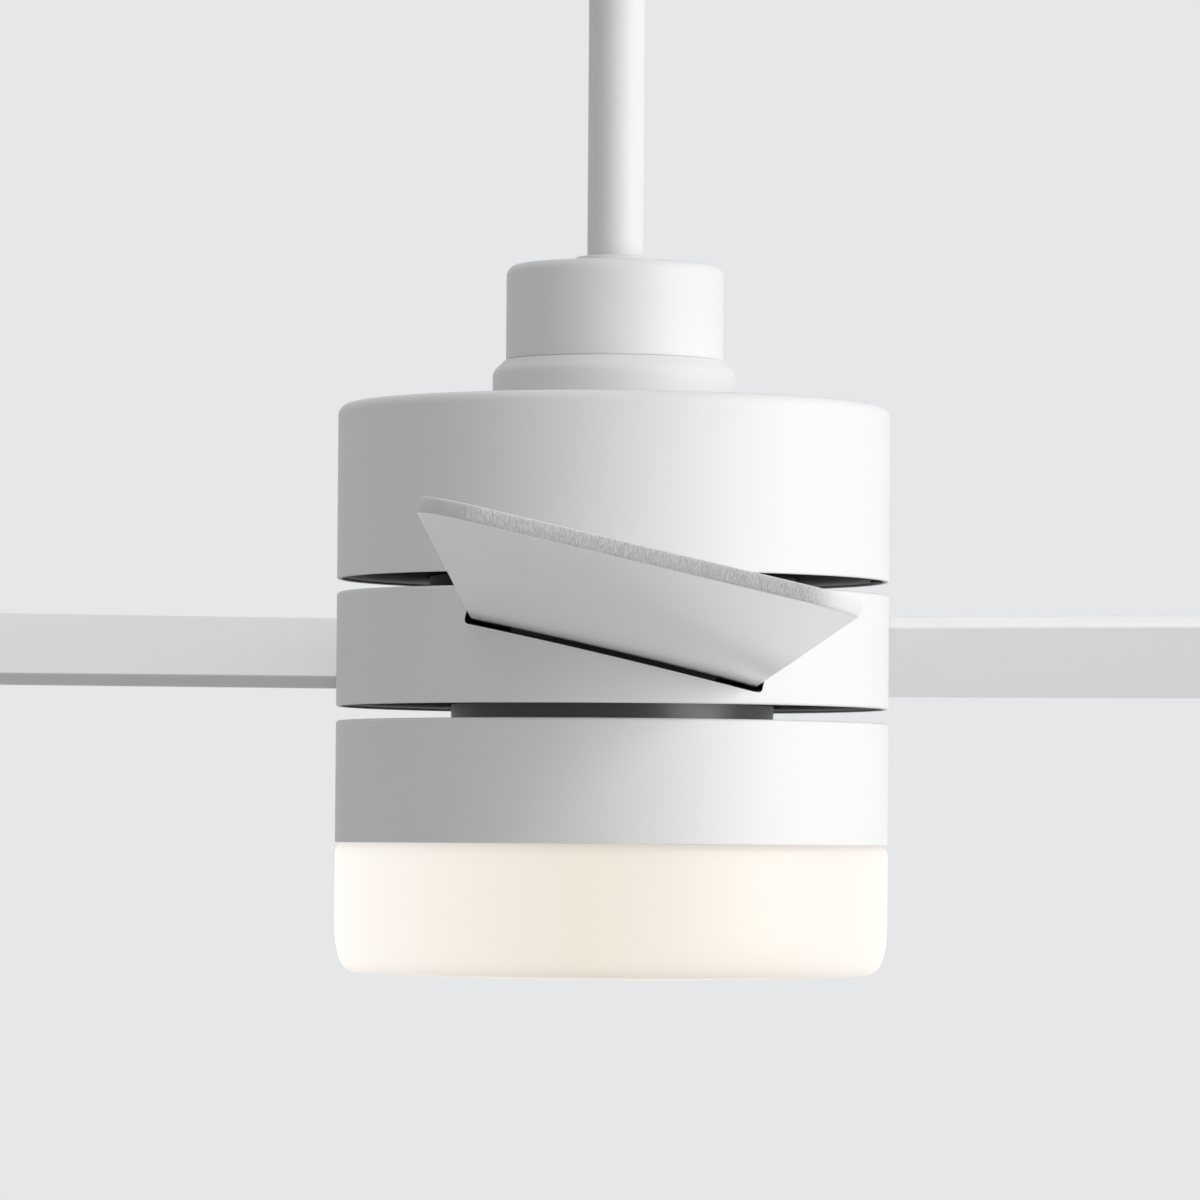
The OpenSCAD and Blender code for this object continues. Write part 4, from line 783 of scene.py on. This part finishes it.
GLASS_H, GLASS_WALL, GLASS_BOW, CORNER_W, CORNER_H = 58.5, 3, 2.5, 12, 28
GLASS_NECK_R, GLASS_NECK_H, GLASS_GAP, SHOULDER = 120, 7, 0.3, 4
INNER_SHOULDER_TOP, INNER_SHOULDER_FOOT, LUG_ROOT, LUG_REACH = -5, -9, 0.5, 2.2


def dish_corner(r, floor, w, h, steps):
    """Side rounding into the floor by |x/w|^3 + |y/h|^3 = 1, from the side down."""
    turn = np.linspace(0, pi / 2, steps)
    return np.stack([r - w + w * np.cos(turn) ** (2 / 3),
                     floor + h - h * np.sin(turn) ** (2 / 3)], -1)


def dish_floor(height, steps):
    """Floor that bows down towards its middle by the square of the radius."""
    r = (DRUM_R - CORNER_W) * np.linspace(1, 0, steps)
    return np.stack([r, height - GLASS_BOW * (1 - (r / r[0]) ** 2)], -1)


quarter = np.linspace(pi / 2, 0, 10)
outer = np.concatenate([
    [(GLASS_NECK_R - GLASS_WALL, GLASS_NECK_H), (GLASS_NECK_R, GLASS_NECK_H),
     (GLASS_NECK_R, -GLASS_GAP)],
    np.array([DRUM_R - SHOULDER, -GLASS_GAP - SHOULDER])
    + SHOULDER * np.stack([np.cos(quarter), np.sin(quarter)], -1),
    dish_corner(DRUM_R, -GLASS_H, CORNER_W, CORNER_H, 26)[:-1], dish_floor(-GLASS_H, 14)])
inner = np.concatenate([
    dish_floor(GLASS_WALL - GLASS_H, 14)[::-1],
    dish_corner(DRUM_R - GLASS_WALL, GLASS_WALL - GLASS_H, CORNER_W - GLASS_WALL,
                CORNER_H - GLASS_WALL, 20)[::-1][1:],
    [(DRUM_R - GLASS_WALL, INNER_SHOULDER_FOOT),
     (GLASS_NECK_R - GLASS_WALL, INNER_SHOULDER_TOP)]])
dish = np.concatenate([outer, inner])[::-1] + (0, LOWER_BOTTOM)


# Heights that bound the painted shade at the diffuser's rim and bottom corner, and how far left of
# the middle its glow is weakest.
PAINTED_SHADE_FLOOR, PAINTED_SHADE_RIM, LEFT_OF_MIDDLE = LOWER_BOTTOM - 59.8, LOWER_BOTTOM + 1.5, 0.12


def opal():
    """Opal plastic lit from inside: a soft warm glow with painted light in it. A painted highlight
    makes it brighter and whiter towards both sides, a little less on the right where the key light
    already falls, so that it is weakest and warmest a little left of the middle; painted shade dims
    it within a few millimetres of the rim and of the bottom corner."""
    finish = Finish("lit_opal")
    height = finish.node("MapRange", {}, {"Value": finish.across("Z"), 1: PAINTED_SHADE_FLOOR / 1000,
                                          2: PAINTED_SHADE_RIM / 1000, 3: -1.0, 4: 1.0})
    x, y = [finish.across(axis) * (1000 / DRUM_R) for axis in "XY"]
    # Painted highlight: brighter towards both sides, as the lit edges look, and a little less on
    # the right, where the key light already adds.
    side = ((x + LEFT_OF_MIDDLE) * (x + LEFT_OF_MIDDLE) + 0.02) ** 0.5 - 0.2 * x
    # Painted shade: the glow dims close under the drum's rim and round the outer bottom corner.
    corner = (height * height) ** 6 * (x * x + y * y) ** 2
    speck = finish.noise(1200, 2)
    cloud = finish.noise(16, 3)
    # The warm colour is the lamp's own glow; the whiter one is the painted highlight at the sides.
    glow_and_painted_light = finish.mix(side, (0.77, 0.712, 0.605, 1), (0.93, 0.88, 0.83, 1))
    # Half of that painted shade darkens the glow towards black.
    glow_and_painted_light = finish.mix(0.5 * corner, glow_and_painted_light, grey(0))
    return finish.shade({"Base Color": finish.mix(cloud, grey(0.047, 0.03), grey(0.055, 0.03)),
                         "Roughness": 0.50 + 0.06 * cloud, "Emission Color": glow_and_painted_light,
                         "Emission Strength": 1.0, "Normal": finish.bump(speck, 0.000004)})


piece("opal_dish", "twist_diffuser", "diffuser", opal(), "opal_diffuser",
      turned(dish),
      *[sector(GLASS_NECK_R - LUG_ROOT, GLASS_NECK_R + LUG_REACH, LUG_TOP - LUG_T, LUG_TOP,
               120 * i, 120 * i + LUG_ARC) for i in range(3)])
